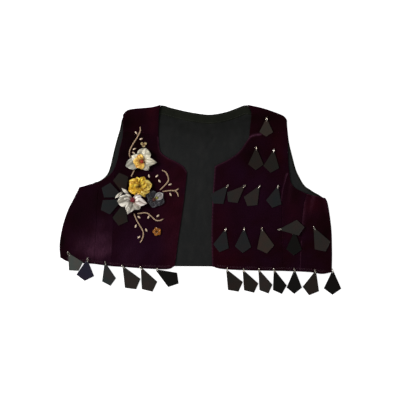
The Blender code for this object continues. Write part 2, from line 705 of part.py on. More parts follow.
def main():
    for old in list(bpy.data.objects):
        bpy.data.objects.remove(old, do_unlink=True)
    finishes = {}
    for row in FINISHES:
        finish = dict(zip(FINISH_COLUMNS, row))
        finishes[finish["name"]] = material(**finish)

    surface = Surface()
    velvet, mirror = finishes["velvet"], finishes["mirror_plastic"]
    surface.add(back(velvet))
    for made in lining_and_edges(finishes["lining"], finishes["edging"]):
        surface.add(made)
    for half in HALVES:
        surface.add(front_centre(half, velvet))
        surface.add(front_side(half, velvet))

    for row in FAN:
        p = dict(zip(FAN_COLUMNS, row))
        plate(
            p["name"], surface, *(c * MM for c in FAN_CENTRE), math.radians(p["heading"]),
            p["length"] * MM, p["width"] * MM, p["start"] * MM, (0.0,), mirror,
        )
    swings = np.radians(np.linspace(-TUCKED_SWING, TUCKED_SWING, SWING_STOPS))
    for row in PLATES:
        p = dict(zip(PLATE_COLUMNS, row))
        plate(
            p["name"], surface, p["x"] * MM, p["y"] * MM, math.radians(p["heading"]),
            p["length"] * MM, p["width"] * MM, RING_REACH, swings if p["tucked"] else (0.0,), mirror,
        )
    for row in FLOWERS:
        p = dict(zip(FLOWER_COLUMNS, row))
        p["finish"] = finishes[p["finish"]]
        flower(surface, **p)


main()
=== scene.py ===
"""Cropped sleeveless folk vest in dark plum velvet, laid flat and open on its back.

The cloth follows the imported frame: a velvet back that turns over the shoulders and round the sides,
its charcoal lining, a neck facing, armhole bindings and the four front panels. On the wearer's left
front and along both hems hang smoked mirror plates on small rings. The wearer's right front carries
a fan of such plates, folded satin and organza flowers, and couched vines with leaf beads.
Lengths in the tables are in millimetres and angles in degrees; +X is the wearer's left.
"""

import json
import logging
import math
from collections.abc import Sequence
from dataclasses import dataclass, field
from enum import Enum

import bpy
import numpy as np
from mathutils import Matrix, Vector


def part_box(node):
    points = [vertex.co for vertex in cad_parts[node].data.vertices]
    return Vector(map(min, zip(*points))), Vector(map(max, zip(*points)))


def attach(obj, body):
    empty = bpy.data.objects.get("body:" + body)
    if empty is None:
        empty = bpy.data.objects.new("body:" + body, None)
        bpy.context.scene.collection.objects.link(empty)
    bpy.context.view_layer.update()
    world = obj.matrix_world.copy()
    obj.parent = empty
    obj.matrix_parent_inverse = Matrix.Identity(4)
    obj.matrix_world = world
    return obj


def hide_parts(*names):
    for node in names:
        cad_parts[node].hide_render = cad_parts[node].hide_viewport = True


Array = np.ndarray
Points = Sequence[tuple[float, float]]
Socket = bpy.types.NodeSocket
LOG = logging.getLogger("vest")
MM = 0.001
UP = np.array([0.0, 0.0, 1.0])
GOLDEN_ANGLE = 2.399963

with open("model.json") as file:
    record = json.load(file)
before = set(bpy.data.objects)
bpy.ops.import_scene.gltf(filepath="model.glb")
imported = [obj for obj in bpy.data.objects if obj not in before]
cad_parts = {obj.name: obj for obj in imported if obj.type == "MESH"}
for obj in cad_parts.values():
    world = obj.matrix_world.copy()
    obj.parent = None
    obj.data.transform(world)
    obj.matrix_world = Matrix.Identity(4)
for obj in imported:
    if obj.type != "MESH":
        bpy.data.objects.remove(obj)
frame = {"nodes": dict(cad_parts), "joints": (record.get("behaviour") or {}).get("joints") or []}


# ------------------------------------------------------------------ curves and surfaces


def linear(code: str) -> tuple[float, float, float, float]:
    """Turns an sRGB hex colour into linear RGBA.

    Args:
        code: Six hex digits.
    Returns:
        The colour, opaque.
    """
    parts = [int(code[i : i + 2], 16) / 255 for i in (0, 2, 4)]
    return (*(c / 12.92 if c <= 0.04045 else ((c + 0.055) / 1.055) ** 2.4 for c in parts), 1.0)


def walked(line: Array) -> Array:
    """How far along a line each of its points is."""
    return np.concatenate([[0], np.cumsum(np.linalg.norm(np.diff(line, axis=0), axis=1))])


def between(places: Array, knots: Array, line: Array) -> Array:
    """The points of a line at the places given, where its own points are at the knots."""
    return np.column_stack([np.interp(places, knots, line[:, k]) for k in range(line.shape[1])])


def unit(vectors: Array) -> Array:
    """Vectors brought to unit length, apart from those that have none."""
    return vectors / np.maximum(np.linalg.norm(vectors, axis=-1, keepdims=True), 1e-12)


def round_turn(steps: int) -> Array:
    """Angles evenly spaced round a full turn, in radians."""
    return 2 * np.pi * np.arange(steps) / steps


def smooth(points: Points, shares: Array) -> Array:
    """Walks a Catmull-Rom curve through the given points, or a straight line where there are two.

    Args:
        points: The knots, in mm.
        shares: Where to stop, from 0 at the first knot to 1 at the last, by length.
    Returns:
        One point for each share, in mm.
    """
    knots = np.asarray(points, float)
    if len(knots) == 2:
        return knots[0] + np.outer(shares, knots[1] - knots[0])
    ends = np.vstack([2 * knots[0] - knots[1], knots, 2 * knots[-1] - knots[-2]])
    t = np.linspace(0, 1, 24, endpoint=False)[None, :, None]
    a, b, c, d = (ends[i : len(ends) - 3 + i, None] for i in range(4))
    bend, twist = 2 * a - 5 * b + 4 * c - d, 3 * b - 3 * c + d - a
    dense = ((2 * b + (c - a) * t + bend * t**2 + twist * t**3) / 2).reshape(-1, knots.shape[1])
    dense = np.vstack([dense, knots[-1:]])
    far = walked(dense)
    return between(np.asarray(shares) * far[-1], far, dense)


def even(steps: int) -> Array:
    """Evenly spaced shares from 0 to 1."""
    return np.linspace(0, 1, steps + 1)


def graded(length: float, start: float = 0.0, end: float = 0.0, coarse: float = 2.6) -> Array:
    """Shares that run 1 mm apart in a band at either end of a length, and further apart between.

    Args:
        length: The whole length, in mm.
        start: Width of the fine band at the start, in mm.
        end: Width of the fine band at the end, in mm.
        coarse: Step between the bands, in mm.
    Returns:
        Rising shares from 0 to 1.
    """
    low = np.linspace(0, start, max(1, round(start)) + 1)[:-1] if start else np.zeros(0)
    high = np.linspace(length - end, length, max(1, round(end)) + 1)[1:] if end else np.zeros(0)
    middle = np.linspace(start, length - end, max(2, round((length - start - end) / coarse)) + 1)
    return np.concatenate([low, middle, high]) / length


def to_left_of(line: Array) -> Array:
    """Unit plan vectors that point left of a line's direction, one for each of its points."""
    along = unit(np.gradient(line[:, :2], axis=0))
    return np.column_stack([-along[:, 1], along[:, 0]])


def joined(*lines: Array) -> Array:
    """Lines that follow each other, with the points that they share taken once."""
    return np.vstack([lines[0], *(line[1:] for line in lines[1:])])


def coons(bottom: Array, top: Array, left: Array, right: Array) -> Array:
    """Fills four edges: the sum of the two ruled surfaces between facing edges, less the bilinear
    one, with u and v the shares of the edges' lengths.

    Args:
        bottom: Points from left to right.
        top: Points from left to right.
        left: Points from bottom to top.
        right: Points from bottom to top.
    Returns:
        A grid of points, rows from bottom to top.
    """
    u = (walked(bottom) + walked(top))[None, :, None]
    v = (walked(left) + walked(right))[:, None, None]
    u, v = u / u[0, -1], v / v[-1]
    across = (1 - v) * bottom[None] + v * top[None]
    along = (1 - u) * left[:, None] + u * right[:, None]
    low = (1 - u) * bottom[0] + u * bottom[-1]
    high = (1 - u) * top[0] + u * top[-1]
    return across + along - (1 - v) * low - v * high


def fade(x: Array) -> Array:
    """The smooth step 3x² - 2x³, held at 0 below 0 and at 1 above 1."""
    x = np.clip(x, 0, 1)
    return x * x * (3 - 2 * x)


def reach_of(x: Array, y: Array, line: Array) -> Array:
    """Plan distance from each place to the nearest point of a line, all in metres."""
    flat = np.column_stack([np.ravel(x), np.ravel(y)])
    nearest = np.full(len(flat), np.inf)
    for some in np.array_split(line[:, :2], max(1, len(line) // 60)):
        gaps = flat[:, None, :] - some[None]
        nearest = np.minimum(nearest, np.sqrt((gaps**2).sum(axis=2)).min(axis=1))
    return nearest.reshape(np.shape(x))


def ridges(x: Array, y: Array, rows: Sequence[Sequence[float]]) -> Array:
    """Soft ridges, or troughs where the height is negative: Gaussians of the distance to a segment.

    Args:
        x: Places, in metres.
        y: Places, in metres.
        rows: Each ridge's x0, y0, x1, y1, height and half width, in mm.
    Returns:
        The sum of the heights, in metres.
    """
    total = np.zeros(np.shape(x))
    for row in rows:
        x0, y0, x1, y1, height, width = (value * MM for value in row)
        dx, dy = x1 - x0, y1 - y0
        share = np.clip(((x - x0) * dx + (y - y0) * dy) / (dx * dx + dy * dy), 0, 1)
        total = total + height * np.exp(-((np.hypot(x - x0 - share * dx, y - y0 - share * dy) / width) ** 2))
    return total


def ripples(x: Array, y: Array, size: float, seed: int, stretch: float = 1.0) -> Array:
    """Smooth uneven ripples: the mean of twelve sine waves with seeded headings and phases.

    Args:
        x: Places across, in metres.
        y: Places along, in metres.
        size: Mean wavelength, in metres.
        seed: Picks the pattern.
        stretch: How much longer the ripples are along Y than across.
    Returns:
        Values between about -1 and 1.
    """
    chance = np.random.default_rng(seed)
    total = np.zeros(np.shape(x))
    for heading, phase, scale in zip(
        chance.uniform(0, 2 * np.pi, 12), chance.uniform(0, 2 * np.pi, 12), chance.uniform(0.6, 1.7, 12)
    ):
        run = x * math.cos(heading) + y * math.sin(heading) / stretch
        total += np.sin(2 * np.pi * scale * run / size + phase)
    return total / 5


@dataclass
class Skin:
    """A mesh held as arrays: its points, its quads, a pair of surface coordinates for each point and
    a material number for each quad."""

    points: Array
    faces: Array
    uv: Array
    finish: Array

    @classmethod
    def grid(
        cls, points: Array, uv: Array | None = None, around: bool = False, flip: bool = False
    ) -> "Skin":
        """Joins a grid of points by quads.

        Args:
            points: Rows and columns of points.
            uv: Surface coordinates for each, or None for the shares along the columns and rows.
            around: Whether the last column joins the first.
            flip: Whether to turn the faces over.
        Returns:
            The surface.
        """
        rows, columns = points.shape[:2]
        if uv is None:
            uv = np.stack(np.meshgrid(even(columns - 1), even(rows - 1)), axis=-1)
        index = np.arange(rows * columns).reshape(rows, columns)
        if around:
            index = np.column_stack([index, index[:, 0]])
        corners = [index[:-1, :-1], index[:-1, 1:], index[1:, 1:], index[1:, :-1]]
        faces = np.stack(corners[::-1] if flip else corners, axis=-1).reshape(-1, 4)
        return cls(points.reshape(-1, 3), faces, uv.reshape(-1, 2), np.zeros(len(faces), int))

    @classmethod
    def together(cls, skins: Sequence["Skin"]) -> "Skin":
        """Puts several surfaces into one."""
        starts = np.cumsum([0, *(len(skin.points) for skin in skins)])
        faces = [skin.faces + start for skin, start in zip(skins, starts)]
        points, uv = np.vstack([skin.points for skin in skins]), np.vstack([skin.uv for skin in skins])
        return cls(points, np.vstack(faces), uv, np.concatenate([skin.finish for skin in skins]))

    def welded(self) -> "Skin":
        """The surface, with the points that round to the same micron made one."""
        keys = np.round(self.points / (0.001 * MM)).astype(np.int64)
        _, first, place = np.unique(keys, axis=0, return_index=True, return_inverse=True)
        return Skin(self.points[first], place.reshape(-1)[self.faces], self.uv[first], self.finish)

    def face_up(self, some: slice = slice(None)) -> "Skin":
        """The surface, turned over if its faces, or some of them, look down on the whole."""
        down = self.crosses()[some, 2].mean() < 0
        return Skin(self.points, self.faces[:, ::-1] if down else self.faces, self.uv, self.finish)

    def sealed(self) -> tuple[Sequence, Array]:
        """The faces, with those that meet a pole made triangles, and the material number of each."""
        if (np.diff(np.sort(self.faces, axis=1), axis=1) > 0).all():
            return self.faces, self.finish
        faces = [list(dict.fromkeys(face)) for face in self.faces.tolist()]
        whole = np.array([len(face) > 2 for face in faces])
        return [face for face in faces if len(face) > 2], self.finish[whole]

    def crosses(self) -> Array:
        """Each quad's normal times twice its area: the cross product of its diagonals."""
        a, b, c, d = (self.points[self.faces[:, k]] for k in range(4))
        return np.cross(c - a, d - b)

    def area(self) -> float:
        """The whole area, in square metres."""
        return float(np.linalg.norm(self.crosses(), axis=1).sum() / 2)

    def normals(self) -> Array:
        """Unit normals at the points: the sum of the area-weighted normals of the quads round each."""
        total = np.zeros_like(self.points)
        crosses = self.crosses()
        for k in range(4):
            np.add.at(total, self.faces[:, k], crosses)
        return unit(total)

    def walled(self, thickness: float, rim: int = 4, inner_finish: int = 0) -> "Skin":
        """Thickens an open surface into a closed wall with a half-round rim.

        The two skins lie half the thickness to either side. At an open edge both stop half the
        thickness short, and the rim is a half circle about the edge so moved.

        Args:
            thickness: Of the wall, in metres.
            rim: Faces round the half circle.
            inner_finish: Material number of the inner skin.
        Returns:
            The closed wall.
        """
        half = thickness / 2
        edges = np.concatenate([self.faces[:, [k, (k + 1) % 4]] for k in range(4)])
        edges = edges[edges[:, 0] != edges[:, 1]]
        _, place, uses = np.unique(np.sort(edges, axis=1), axis=0, return_inverse=True, return_counts=True)
        open_edges = edges[uses[place.reshape(-1)] == 1]
        tangent = np.zeros_like(self.points)
        run = self.points[open_edges[:, 1]] - self.points[open_edges[:, 0]]
        np.add.at(tangent, open_edges[:, 0], run)
        np.add.at(tangent, open_edges[:, 1], run)
        normal = self.normals()
        border = np.unique(open_edges)
        outward = unit(np.cross(tangent[border], normal[border]))
        middle = self.points.copy()
        middle[border] -= outward * half
        count = len(middle)
        number = np.zeros(count, int)
        number[border] = np.arange(len(border))
        rings = [middle + normal * half, middle - normal * half]
        first = [np.arange(count), *[None] * (rim - 1), np.arange(count) + count]
        for k in range(1, rim):
            angle = math.pi / 2 - math.pi * k / rim
            ring = outward * (half * math.cos(angle)) + normal[border] * (half * math.sin(angle))
            rings.append(middle[border] + ring)
            first[k] = 2 * count + (k - 1) * len(border) + number
        faces = [self.faces, self.faces[:, ::-1] + count]
        a, b = open_edges[:, 0], open_edges[:, 1]
        for one, other in zip(first, first[1:]):
            faces.append(np.column_stack([one[a], other[a], other[b], one[b]]))
        finish = np.zeros(sum(map(len, faces)), int)
        finish[len(self.faces) : 2 * len(self.faces)] = inner_finish
        uv = np.vstack([self.uv, self.uv, *[self.uv[border]] * (rim - 1)])
        return Skin(np.vstack(rings), np.vstack(faces), uv, finish)


def tube(path: Array, radius: Array, sides: int = 10, flat: float = 1.0) -> Skin:
    """Carries a circle along a path, and closes both ends by rings shrunk to a point. Each ring
    stands square to the path, one axis kept level.

    Args:
        path: Points along the middle, in metres.
        radius: The radius at each, or at each and round each, in metres.
        sides: Points round the circle.
        flat: Height of the section as a share of its width.
    Returns:
        The tube, its u round the section and its v along the path in metres.
    """
    radius = np.broadcast_to(radius.reshape(len(path), -1), (len(path), sides))
    along = unit(np.gradient(path, axis=0))
    level = unit(np.cross(UP, along))
    upright = np.cross(along, level) * flat
    rows = (path, level, upright, radius, walked(path))
    path, level, upright, radius, far = (np.concatenate([row[:1], row, row[-1:]]) for row in rows)
    radius[[0, -1]] = 0
    angle = round_turn(sides)[None, :, None]
    ring = level[:, None] * np.cos(angle) + upright[:, None] * np.sin(angle)
    points = path[:, None] + radius[..., None] * ring
    uv = np.stack(np.broadcast_arrays(even(sides)[None, :-1], far[:, None]), axis=-1)
    return Skin.grid(points, uv, around=True).welded()


def closed_loop(path: Array, radius: float, sides: int = 8) -> Skin:
    """Carries a circle round a closed flat path, square to it, with no seam.

    Args:
        path: Points round the loop, the last not repeating the first, in metres.
        radius: Of the wire, in metres.
        sides: Points round the wire.
    Returns:
        The ring.
    """
    along = unit(np.roll(path, -1, axis=0) - np.roll(path, 1, axis=0))
    square = unit(np.cross(path[len(path) // 4] - path[0], path[len(path) // 2] - path[0]))
    angle = round_turn(sides)[None, :, None]
    ring = np.cross(along, square)[:, None] * np.cos(angle) + square * np.sin(angle)
    points = path[:, None] + radius * ring
    return Skin.grid(np.vstack([points, points[:1]]), around=True, flip=True).welded()


def arch(foot: Array, side: Array, height: float, radius: float, sides: int) -> Skin:
    """A loop of thread that stands on its two ends: half an ellipse.

    Args:
        foot: The middle between its feet, in metres.
        side: The level vector from there to one foot, in metres.
        height: Of its top over its feet, in metres.
        radius: Of the thread, in metres.
        sides: Points round the thread.
    Returns:
        The loop.
    """
    angle = np.linspace(0, np.pi, 9)[:, None]
    return tube(foot + side * np.cos(angle) + UP * height * np.sin(angle), np.full(9, radius), sides)


def pebble(across: int = 10, along: int = 7) -> Array:
    """A grid of points on the unit sphere, with its poles on X, its rows along X and its columns
    round it."""
    polar = np.linspace(0, np.pi, along)[:, None]
    angle = round_turn(across)[None, :]
    x = np.cos(polar) * np.ones_like(angle)
    return np.stack([x, np.sin(polar) * np.cos(angle), np.sin(polar) * np.sin(angle)], axis=-1)


def strewn(shape: Array, places: Array, headings: Array, sizes: Array) -> Skin:
    """Repeats one closed grid at many places, turned in plan.

    Args:
        shape: The grid of points, with X the way it points.
        places: Middle of each, in metres.
        headings: Unit plan vector along each.
        sizes: Half lengths along, across and up, in metres.
    Returns:
        All of them in one mesh.
    """
    one = Skin.grid(shape, around=True, flip=True).welded()
    forward = np.column_stack([headings, np.zeros(len(places))])
    axes = np.stack([forward, np.cross(UP, forward), np.broadcast_to(UP, forward.shape)], axis=1)
    points = np.einsum("ps,nsk->npk", one.points * sizes, axes) + places[:, None]
    return Skin.together([Skin(p, one.faces, one.uv, one.finish) for p in points])


# ------------------------------------------------------------------ finishes


@dataclass(frozen=True)
class Nodes:
    """A material's node tree, with a short method for each kind of node that the finishes use."""

    tree: bpy.types.NodeTree

    def feed(self, socket: Socket, value: object) -> None:
        """Feeds an input from another node's output, a number, a colour or a colour's hex code."""
        if isinstance(value, Socket):
            self.tree.links.new(value, socket)
        else:
            socket.default_value = linear(value) if isinstance(value, str) else value

    def add(
        self, kind: str, inputs: dict | None = None, output: int | str = 0, **settings: object
    ) -> Socket:
        """Adds a shader node.

        Args:
            kind: Its type, without the ShaderNode in front.
            inputs: What feeds each input named.
            output: The output that is wanted.
            settings: Its properties.
        Returns:
            The output.
        """
        node = self.tree.nodes.new("ShaderNode" + kind)
        for key, value in settings.items():
            setattr(node, key, value)
        for key, value in (inputs or {}).items():
            self.feed(node.inputs[key], value)
        return node.outputs[output]

    def place(self) -> Socket:
        """The place in the vest's frame, in metres."""
        return self.add("TexCoord", output="Object")

    def uv(self) -> Socket:
        """The surface coordinates."""
        return self.add("UVMap")

    def parts(self, vector: Socket) -> list[Socket]:
        """The three parts of a vector or colour."""
        return list(self.add("SeparateXYZ", {0: vector}).node.outputs)

    def stretched(self, vector: Socket, scale: tuple[float, float, float], turn: float = 0.0) -> Socket:
        """A vector scaled along its axes after a turn about Z, in radians."""
        return self.add("Mapping", {"Vector": vector, "Rotation": (0.0, 0.0, turn), "Scale": scale})

    def noise(self, vector: Socket, size: float, detail: float = 2.0, roughness: float = 0.5) -> Socket:
        """Noise whose clouds are of one size, in the vector's unit."""
        inputs = {"Vector": vector, "Scale": 1 / size, "Detail": detail, "Roughness": roughness}
        return self.add("TexNoise", inputs, "Fac")

    def spread(self, value: Socket, low: float, high: float, least: float = 0, most: float = 1) -> Socket:
        """A value between low and high spread from least to most, and held there beyond them."""
        inputs = {"Value": value, "From Min": low, "From Max": high, "To Min": least, "To Max": most}
        return self.add("MapRange", inputs)

    def maths(self, operation: str, *values: object, clamp: bool = False) -> Socket:
        """One arithmetic step."""
        return self.add("Math", dict(enumerate(values)), operation=operation, use_clamp=clamp)

    def blend(self, share: Socket, first: object, second: object) -> Socket:
        """A colour mixed from two by a share."""
        return self.add("Mix", {0: share, 6: first, 7: second}, 2, data_type="RGBA")

    def scaled(self, vector: Socket, factor: object) -> Socket:
        """A vector or colour times a factor."""
        return self.add("VectorMath", {0: vector, "Scale": factor}, operation="SCALE")

    def bump(self, height: Socket, strength: float, depth: float) -> Socket:
        """The normal over a height, with its full depth in metres."""
        return self.add("Bump", {"Strength": strength, "Distance": depth, "Height": height})


@dataclass(frozen=True)
class Finish:
    """One material: its name, and the plain numbers of its shader. A colour is an sRGB hex code."""

    name: str
    roughness: float
    specular: float = 0.5
    metallic: float = 0.0

    def paint(self, nodes: Nodes) -> dict[str, object]:
        """What feeds the shader's inputs, by their names, apart from the plain numbers."""
        return {}

    def made(self) -> bpy.types.Material:
        """The material, made on the first call."""
        found = bpy.data.materials.get(self.name)
        if found:
            return found
        material = bpy.data.materials.new(self.name)
        material.use_nodes = True
        nodes = Nodes(material.node_tree)
        inputs = nodes.tree.nodes["Principled BSDF"].inputs
        plain = {"Roughness": self.roughness, "Specular IOR Level": self.specular, "Metallic": self.metallic}
        for key, value in (*plain.items(), *self.paint(nodes).items()):
            nodes.feed(inputs[key], value)
        return material


@dataclass(frozen=True)
class Velvet(Finish):
    """Cotton velvet, cut pile: nearly black face on, and pink-plum where the pile turns away. The
    tone attribute holds the nap's own lean to crimson and violet, a painted sheen highlight, and painted
    shade."""

    ground: str = "190309"
    crimson: str = "2a040c"
    violet: str = "1e0718"
    # Colour of the painted sheen highlight on rolled edges, seams and raised pile.
    painted_sheen: str = "4c2a3b"
    # Colour of the painted shade.
    dark: str = "0c0203"
    sheen: str = "c8497f"
    tuft: float = 1.3 * MM

    def paint(self, nodes: Nodes) -> dict[str, object]:
        """Nap: broad patches, brush marks 9 mm long, and tufts drawn coarser than the real pile's
        0.2 mm so that they show."""
        place = nodes.place()
        # Tone channels: crimson and violet are the nap's own tone; the third is a painted sheen highlight.
        crimson, violet, light = nodes.parts(nodes.add("Attribute", output="Color", attribute_name="tone"))
        # The tone's alpha is painted shade, laid by the folds, shoulders and armholes and near the flowers.
        dark = nodes.add("Attribute", output="Alpha", attribute_name="tone")
        patches = nodes.noise(place, 34 * MM, 3.0, 0.6)
        marks = nodes.noise(nodes.stretched(place, (1.0, 0.28, 1.0), 0.5), 2.6 * MM, 2.0, 0.55)
        tufts = nodes.noise(place, self.tuft, 2.0, 0.7)
        colour = nodes.blend(nodes.spread(patches, 0.35, 0.68, 0.0, 0.7), self.ground, self.violet)
        for share, tint in ((crimson, self.crimson), (violet, self.violet), (dark, self.dark)):
            colour = nodes.blend(share, colour, tint)
        # Painted sheen highlight, broken up by the brush marks.
        lit = nodes.maths("MULTIPLY", nodes.spread(marks, 0.3, 0.7, 0.55, 1.15), light, clamp=True)
        colour = nodes.blend(lit, colour, self.painted_sheen)
        return {
            "Base Color": nodes.scaled(colour, nodes.spread(tufts, 0.3, 0.7, 0.62, 1.3)),
            "Normal": nodes.bump(nodes.maths("ADD", tufts, marks), 0.55, 0.5 * MM),
            "Sheen Weight": 0.12,
            "Sheen Roughness": 0.38,
            "Sheen Tint": self.sheen,
        }


@dataclass(frozen=True)
class PlainWeave(Finish):
    """Dyed plain-weave cotton: matt, with its threads crossing over and under, and lighter where
    it has creased. Threads are drawn 0.8 mm apart, twice the real spacing, so that they show."""

    colour: str = "222323"
    worn: str = "2b2b2a"
    # Colour of the painted shade below the back neckline, laid where the tone attribute is high.
    shaded: str = "10110e"
    pitch: float = 0.8 * MM
    creases: float = 0.8

    def paint(self, nodes: Nodes) -> dict[str, object]:
        """Threads are two crossed sine bands; slubs and creases are stretched noise."""
        place = nodes.place()
        threads = {"Vector": place, "Scale": math.pi / (10 * self.pitch)}
        weave = nodes.maths(
            "MULTIPLY", *(nodes.add("TexWave", threads, "Fac", bands_direction=way) for way in ("X", "Y"))
        )
        creases = nodes.noise(nodes.stretched(place, (1.0, 0.5, 1.0), -0.35), 13 * MM, 4.0, 0.6)
        slubs = nodes.noise(place, 2 * MM)
        colour = nodes.blend(nodes.spread(creases, 0.42, 0.72, 0.0, self.creases), self.colour, self.worn)
        # The tone attribute paints shade on the lining, darker below the back neckline.
        shade = nodes.add("Attribute", output="Fac", attribute_name="tone")
        colour = nodes.blend(shade, colour, self.shaded)
        dark = nodes.maths("MULTIPLY", nodes.spread(weave, 0.0, 1.0, 0.72, 1.18), 0.9)
        dark = nodes.maths("MULTIPLY", dark, nodes.spread(slubs, 0.3, 0.7, 0.9, 1.12))
        return {
            "Base Color": nodes.scaled(colour, dark),
            "Normal": nodes.bump(weave, 0.5, 0.15 * MM),
            "Sheen Weight": 0.05,
            "Sheen Roughness": 0.6,
        }


@dataclass(frozen=True)
class Satin(Finish):
    """Polyester satin ribbon: long floats of thread give one smooth broad gleam along a petal. Its
    v runs from the root to the tip; the root's colour is partly dye and partly painted shade."""

    colour: str = "e4e2da"
    # Root colour: the ribbon's dye, darkened by painted shade where the petals crowd into the heart.
    root: str = "b9a24e"
    # Colour of the painted shade along the creases.
    fold: str = "b4b6b2"
    root_reach: float = 0.35
    roughness: float = 0.22
    specular: float = 0.85
    crease_shade: float = 0.85

    def paint(self, nodes: Nodes) -> dict[str, object]:
        """Fine floats follow the petal; the root's colour, dye and painted shade, fades out; painted
        shade darkens the sides of its long creases, which differ from petal to petal because its place
        shifts the noise."""
        uv = nodes.uv()
        shift = nodes.scaled(nodes.place(), 1 / (16 * MM))
        long = nodes.add("VectorMath", {0: nodes.stretched(uv, (3.0, 0.7, 1.0)), 1: shift}, operation="ADD")
        creases = nodes.noise(long, 1.0, 1.5)
        floats = nodes.noise(nodes.stretched(uv, (30.0, 1.5, 1.0)), 1.0)
        # Painted shade: the fold colour darkens the sides of the long creases.
        colour = nodes.blend(nodes.spread(creases, 0.46, 0.62, 0.0, self.crease_shade), self.colour, self.fold)
        # Share of the root colour, dye and painted shade, falling from the root along the petal.
        dyed = nodes.spread(nodes.parts(uv)[1], 0.0, self.root_reach, 0.9, 0.0)
        colour = nodes.blend(dyed, colour, self.root)
        return {
            "Base Color": colour,
            "Specular Tint": colour,
            "Normal": nodes.bump(nodes.maths("ADD", floats, creases), 0.5, 1.4 * MM),
            "Sheen Weight": 0.1,
            "Coat Weight": 0.5,
            "Coat Roughness": 0.14,
        }


@dataclass(frozen=True)
class Organza(Finish):
    """Smoky organza, heat-cut: sheer in its middle, and closed and paler at its melted rim."""

    colour: str = "3a3f48"
    rim: str = "8d9296"
    alpha: float = 0.62

    def paint(self, nodes: Nodes) -> dict[str, object]:
        """The rim is where u nears either side or v nears the tip."""
        u, v, _ = nodes.parts(nodes.uv())
        side = nodes.maths("MULTIPLY", nodes.maths("ABSOLUTE", nodes.maths("SUBTRACT", u, 0.5)), 2.0)
        share = nodes.spread(nodes.maths("MAXIMUM", side, v), 0.82, 0.98, 0.0, 0.8)
        return {"Base Color": nodes.blend(share, self.colour, self.rim), "Alpha": self.alpha}


@dataclass(frozen=True)
class SmokedMirror(Finish):
    """Smoked acrylic mirror, laser-cut: a deep dark face that reflects a little, clouded warm and
    cool by faint haze from handling."""

    roughness: float = 0.12
    colour: str = "2c2d29"
    warm: tuple[float, ...] = (1.2, 0.98, 0.98, 1.0)
    cool: tuple[float, ...] = (0.84, 1.02, 1.02, 1.0)

    def paint(self, nodes: Nodes) -> dict[str, object]:
        """Haze clouds the tint and the gloss."""
        haze = nodes.noise(nodes.place(), 17 * MM, 3.0)
        tints = [tuple(np.multiply(linear(self.colour), cast)) for cast in (self.warm, self.cool)]
        return {
            "Base Color": nodes.blend(nodes.spread(haze, 0.3, 0.7), *tints),
            "Roughness": nodes.spread(haze, 0.3, 0.7, 0.08, 0.2),
            "IOR": 1.42,
        }


@dataclass(frozen=True)
class PlatedWire(Finish):
    """Nickel-plated steel wire, drawn and bent: bright, with a warm cast where it has worn."""

    colour: str = "e3ddd0"
    worn: str = "b79f76"

    def paint(self, nodes: Nodes) -> dict[str, object]:
        """Wear in small patches."""
        wear = nodes.spread(nodes.noise(nodes.place(), 1.5 * MM), 0.45, 0.7)
        return {"Base Color": nodes.blend(wear, self.colour, self.worn)}


@dataclass(frozen=True)
class Thread(Finish):
    """Twisted thread or cord. Its v runs along it in metres and its u once round it, so the plies
    wind as bands of u plus v."""

    colour: str = "b49c80"
    # Colour of the painted shade in the grooves between plies.
    groove_shade: str = "5c4a38"
    lay: float = 2.4 * MM
    plies: float = 2.0

    def paint(self, nodes: Nodes) -> dict[str, object]:
        """A sine of u and v together paints shade into the groove between plies, and a speckle of fibres."""
        u, v, _ = nodes.parts(nodes.uv())
        turns = nodes.maths("ADD", nodes.maths("MULTIPLY", v, 1 / self.lay), u)
        wave = nodes.maths("SINE", nodes.maths("MULTIPLY", turns, 2 * math.pi * self.plies))
        colour = nodes.blend(nodes.spread(wave, -1.0, 0.2), self.groove_shade, self.colour)
        fibres = nodes.spread(nodes.noise(nodes.place(), 0.9 * MM), 0.3, 0.7, 0.75, 1.25)
        return {"Base Color": nodes.scaled(colour, fibres), "Normal": nodes.bump(wave, 0.6, 0.2 * MM)}


@dataclass(frozen=True)
class Pearl(Finish):
    """Moulded plastic bead with a pearl coat: milky, soft clouds under a clear gloss."""

    colour: str = "e6cdb2"
    cloud: str = "caa98b"

    def paint(self, nodes: Nodes) -> dict[str, object]:
        """Clouds of a second tint."""
        clouds = nodes.spread(nodes.noise(nodes.place(), 3 * MM), 0.35, 0.7, 0.0, 0.8)
        colour = nodes.blend(clouds, self.colour, self.cloud)
        return {"Base Color": colour, "Coat Weight": 0.4, "Coat Roughness": 0.15}


@dataclass(frozen=True)
class Paper(Finish):
    """Lit white paper."""

    def paint(self, nodes: Nodes) -> dict[str, object]:
        """Its own light evens it out to white."""
        white = (1.0, 1.0, 1.0, 1.0)
        return {"Base Color": (0.6, 0.6, 0.6, 1.0), "Emission Color": white, "Emission Strength": 0.88}


VELVET = Velvet("cotton velvet, cut pile", roughness=0.95, specular=0.03)
LINING = PlainWeave("dyed cotton lining, plain weave", roughness=0.92, specular=0.08)
EDGING = PlainWeave(
    "dyed cotton tape, plain weave",
    roughness=0.9,
    specular=0.06,
    colour="191b13",
    worn="23251b",
    creases=0.6,
)
WIRE = PlatedWire("nickel-plated wire, bent", roughness=0.22, metallic=1.0)
CORD = Thread("rayon cord, two-ply", roughness=0.5, colour="dcb894", groove_shade="7c6450")
COUCHING = Thread("silk couching thread", roughness=0.5, colour="a2896c", groove_shade="584838", lay=0.8 * MM)
SEWING = Thread("polyester sewing thread", roughness=0.55, colour="5a2a40", groove_shade="1c0a14", lay=0.8 * MM)
TAPE_THREAD = Thread("cotton sewing thread", roughness=0.6, colour="26281f", groove_shade="11120c", lay=0.8 * MM)
PEARL = Pearl("pearl-coated plastic bead", roughness=0.25)
PAPER = Paper("white paper sweep", roughness=0.9, specular=0.1)


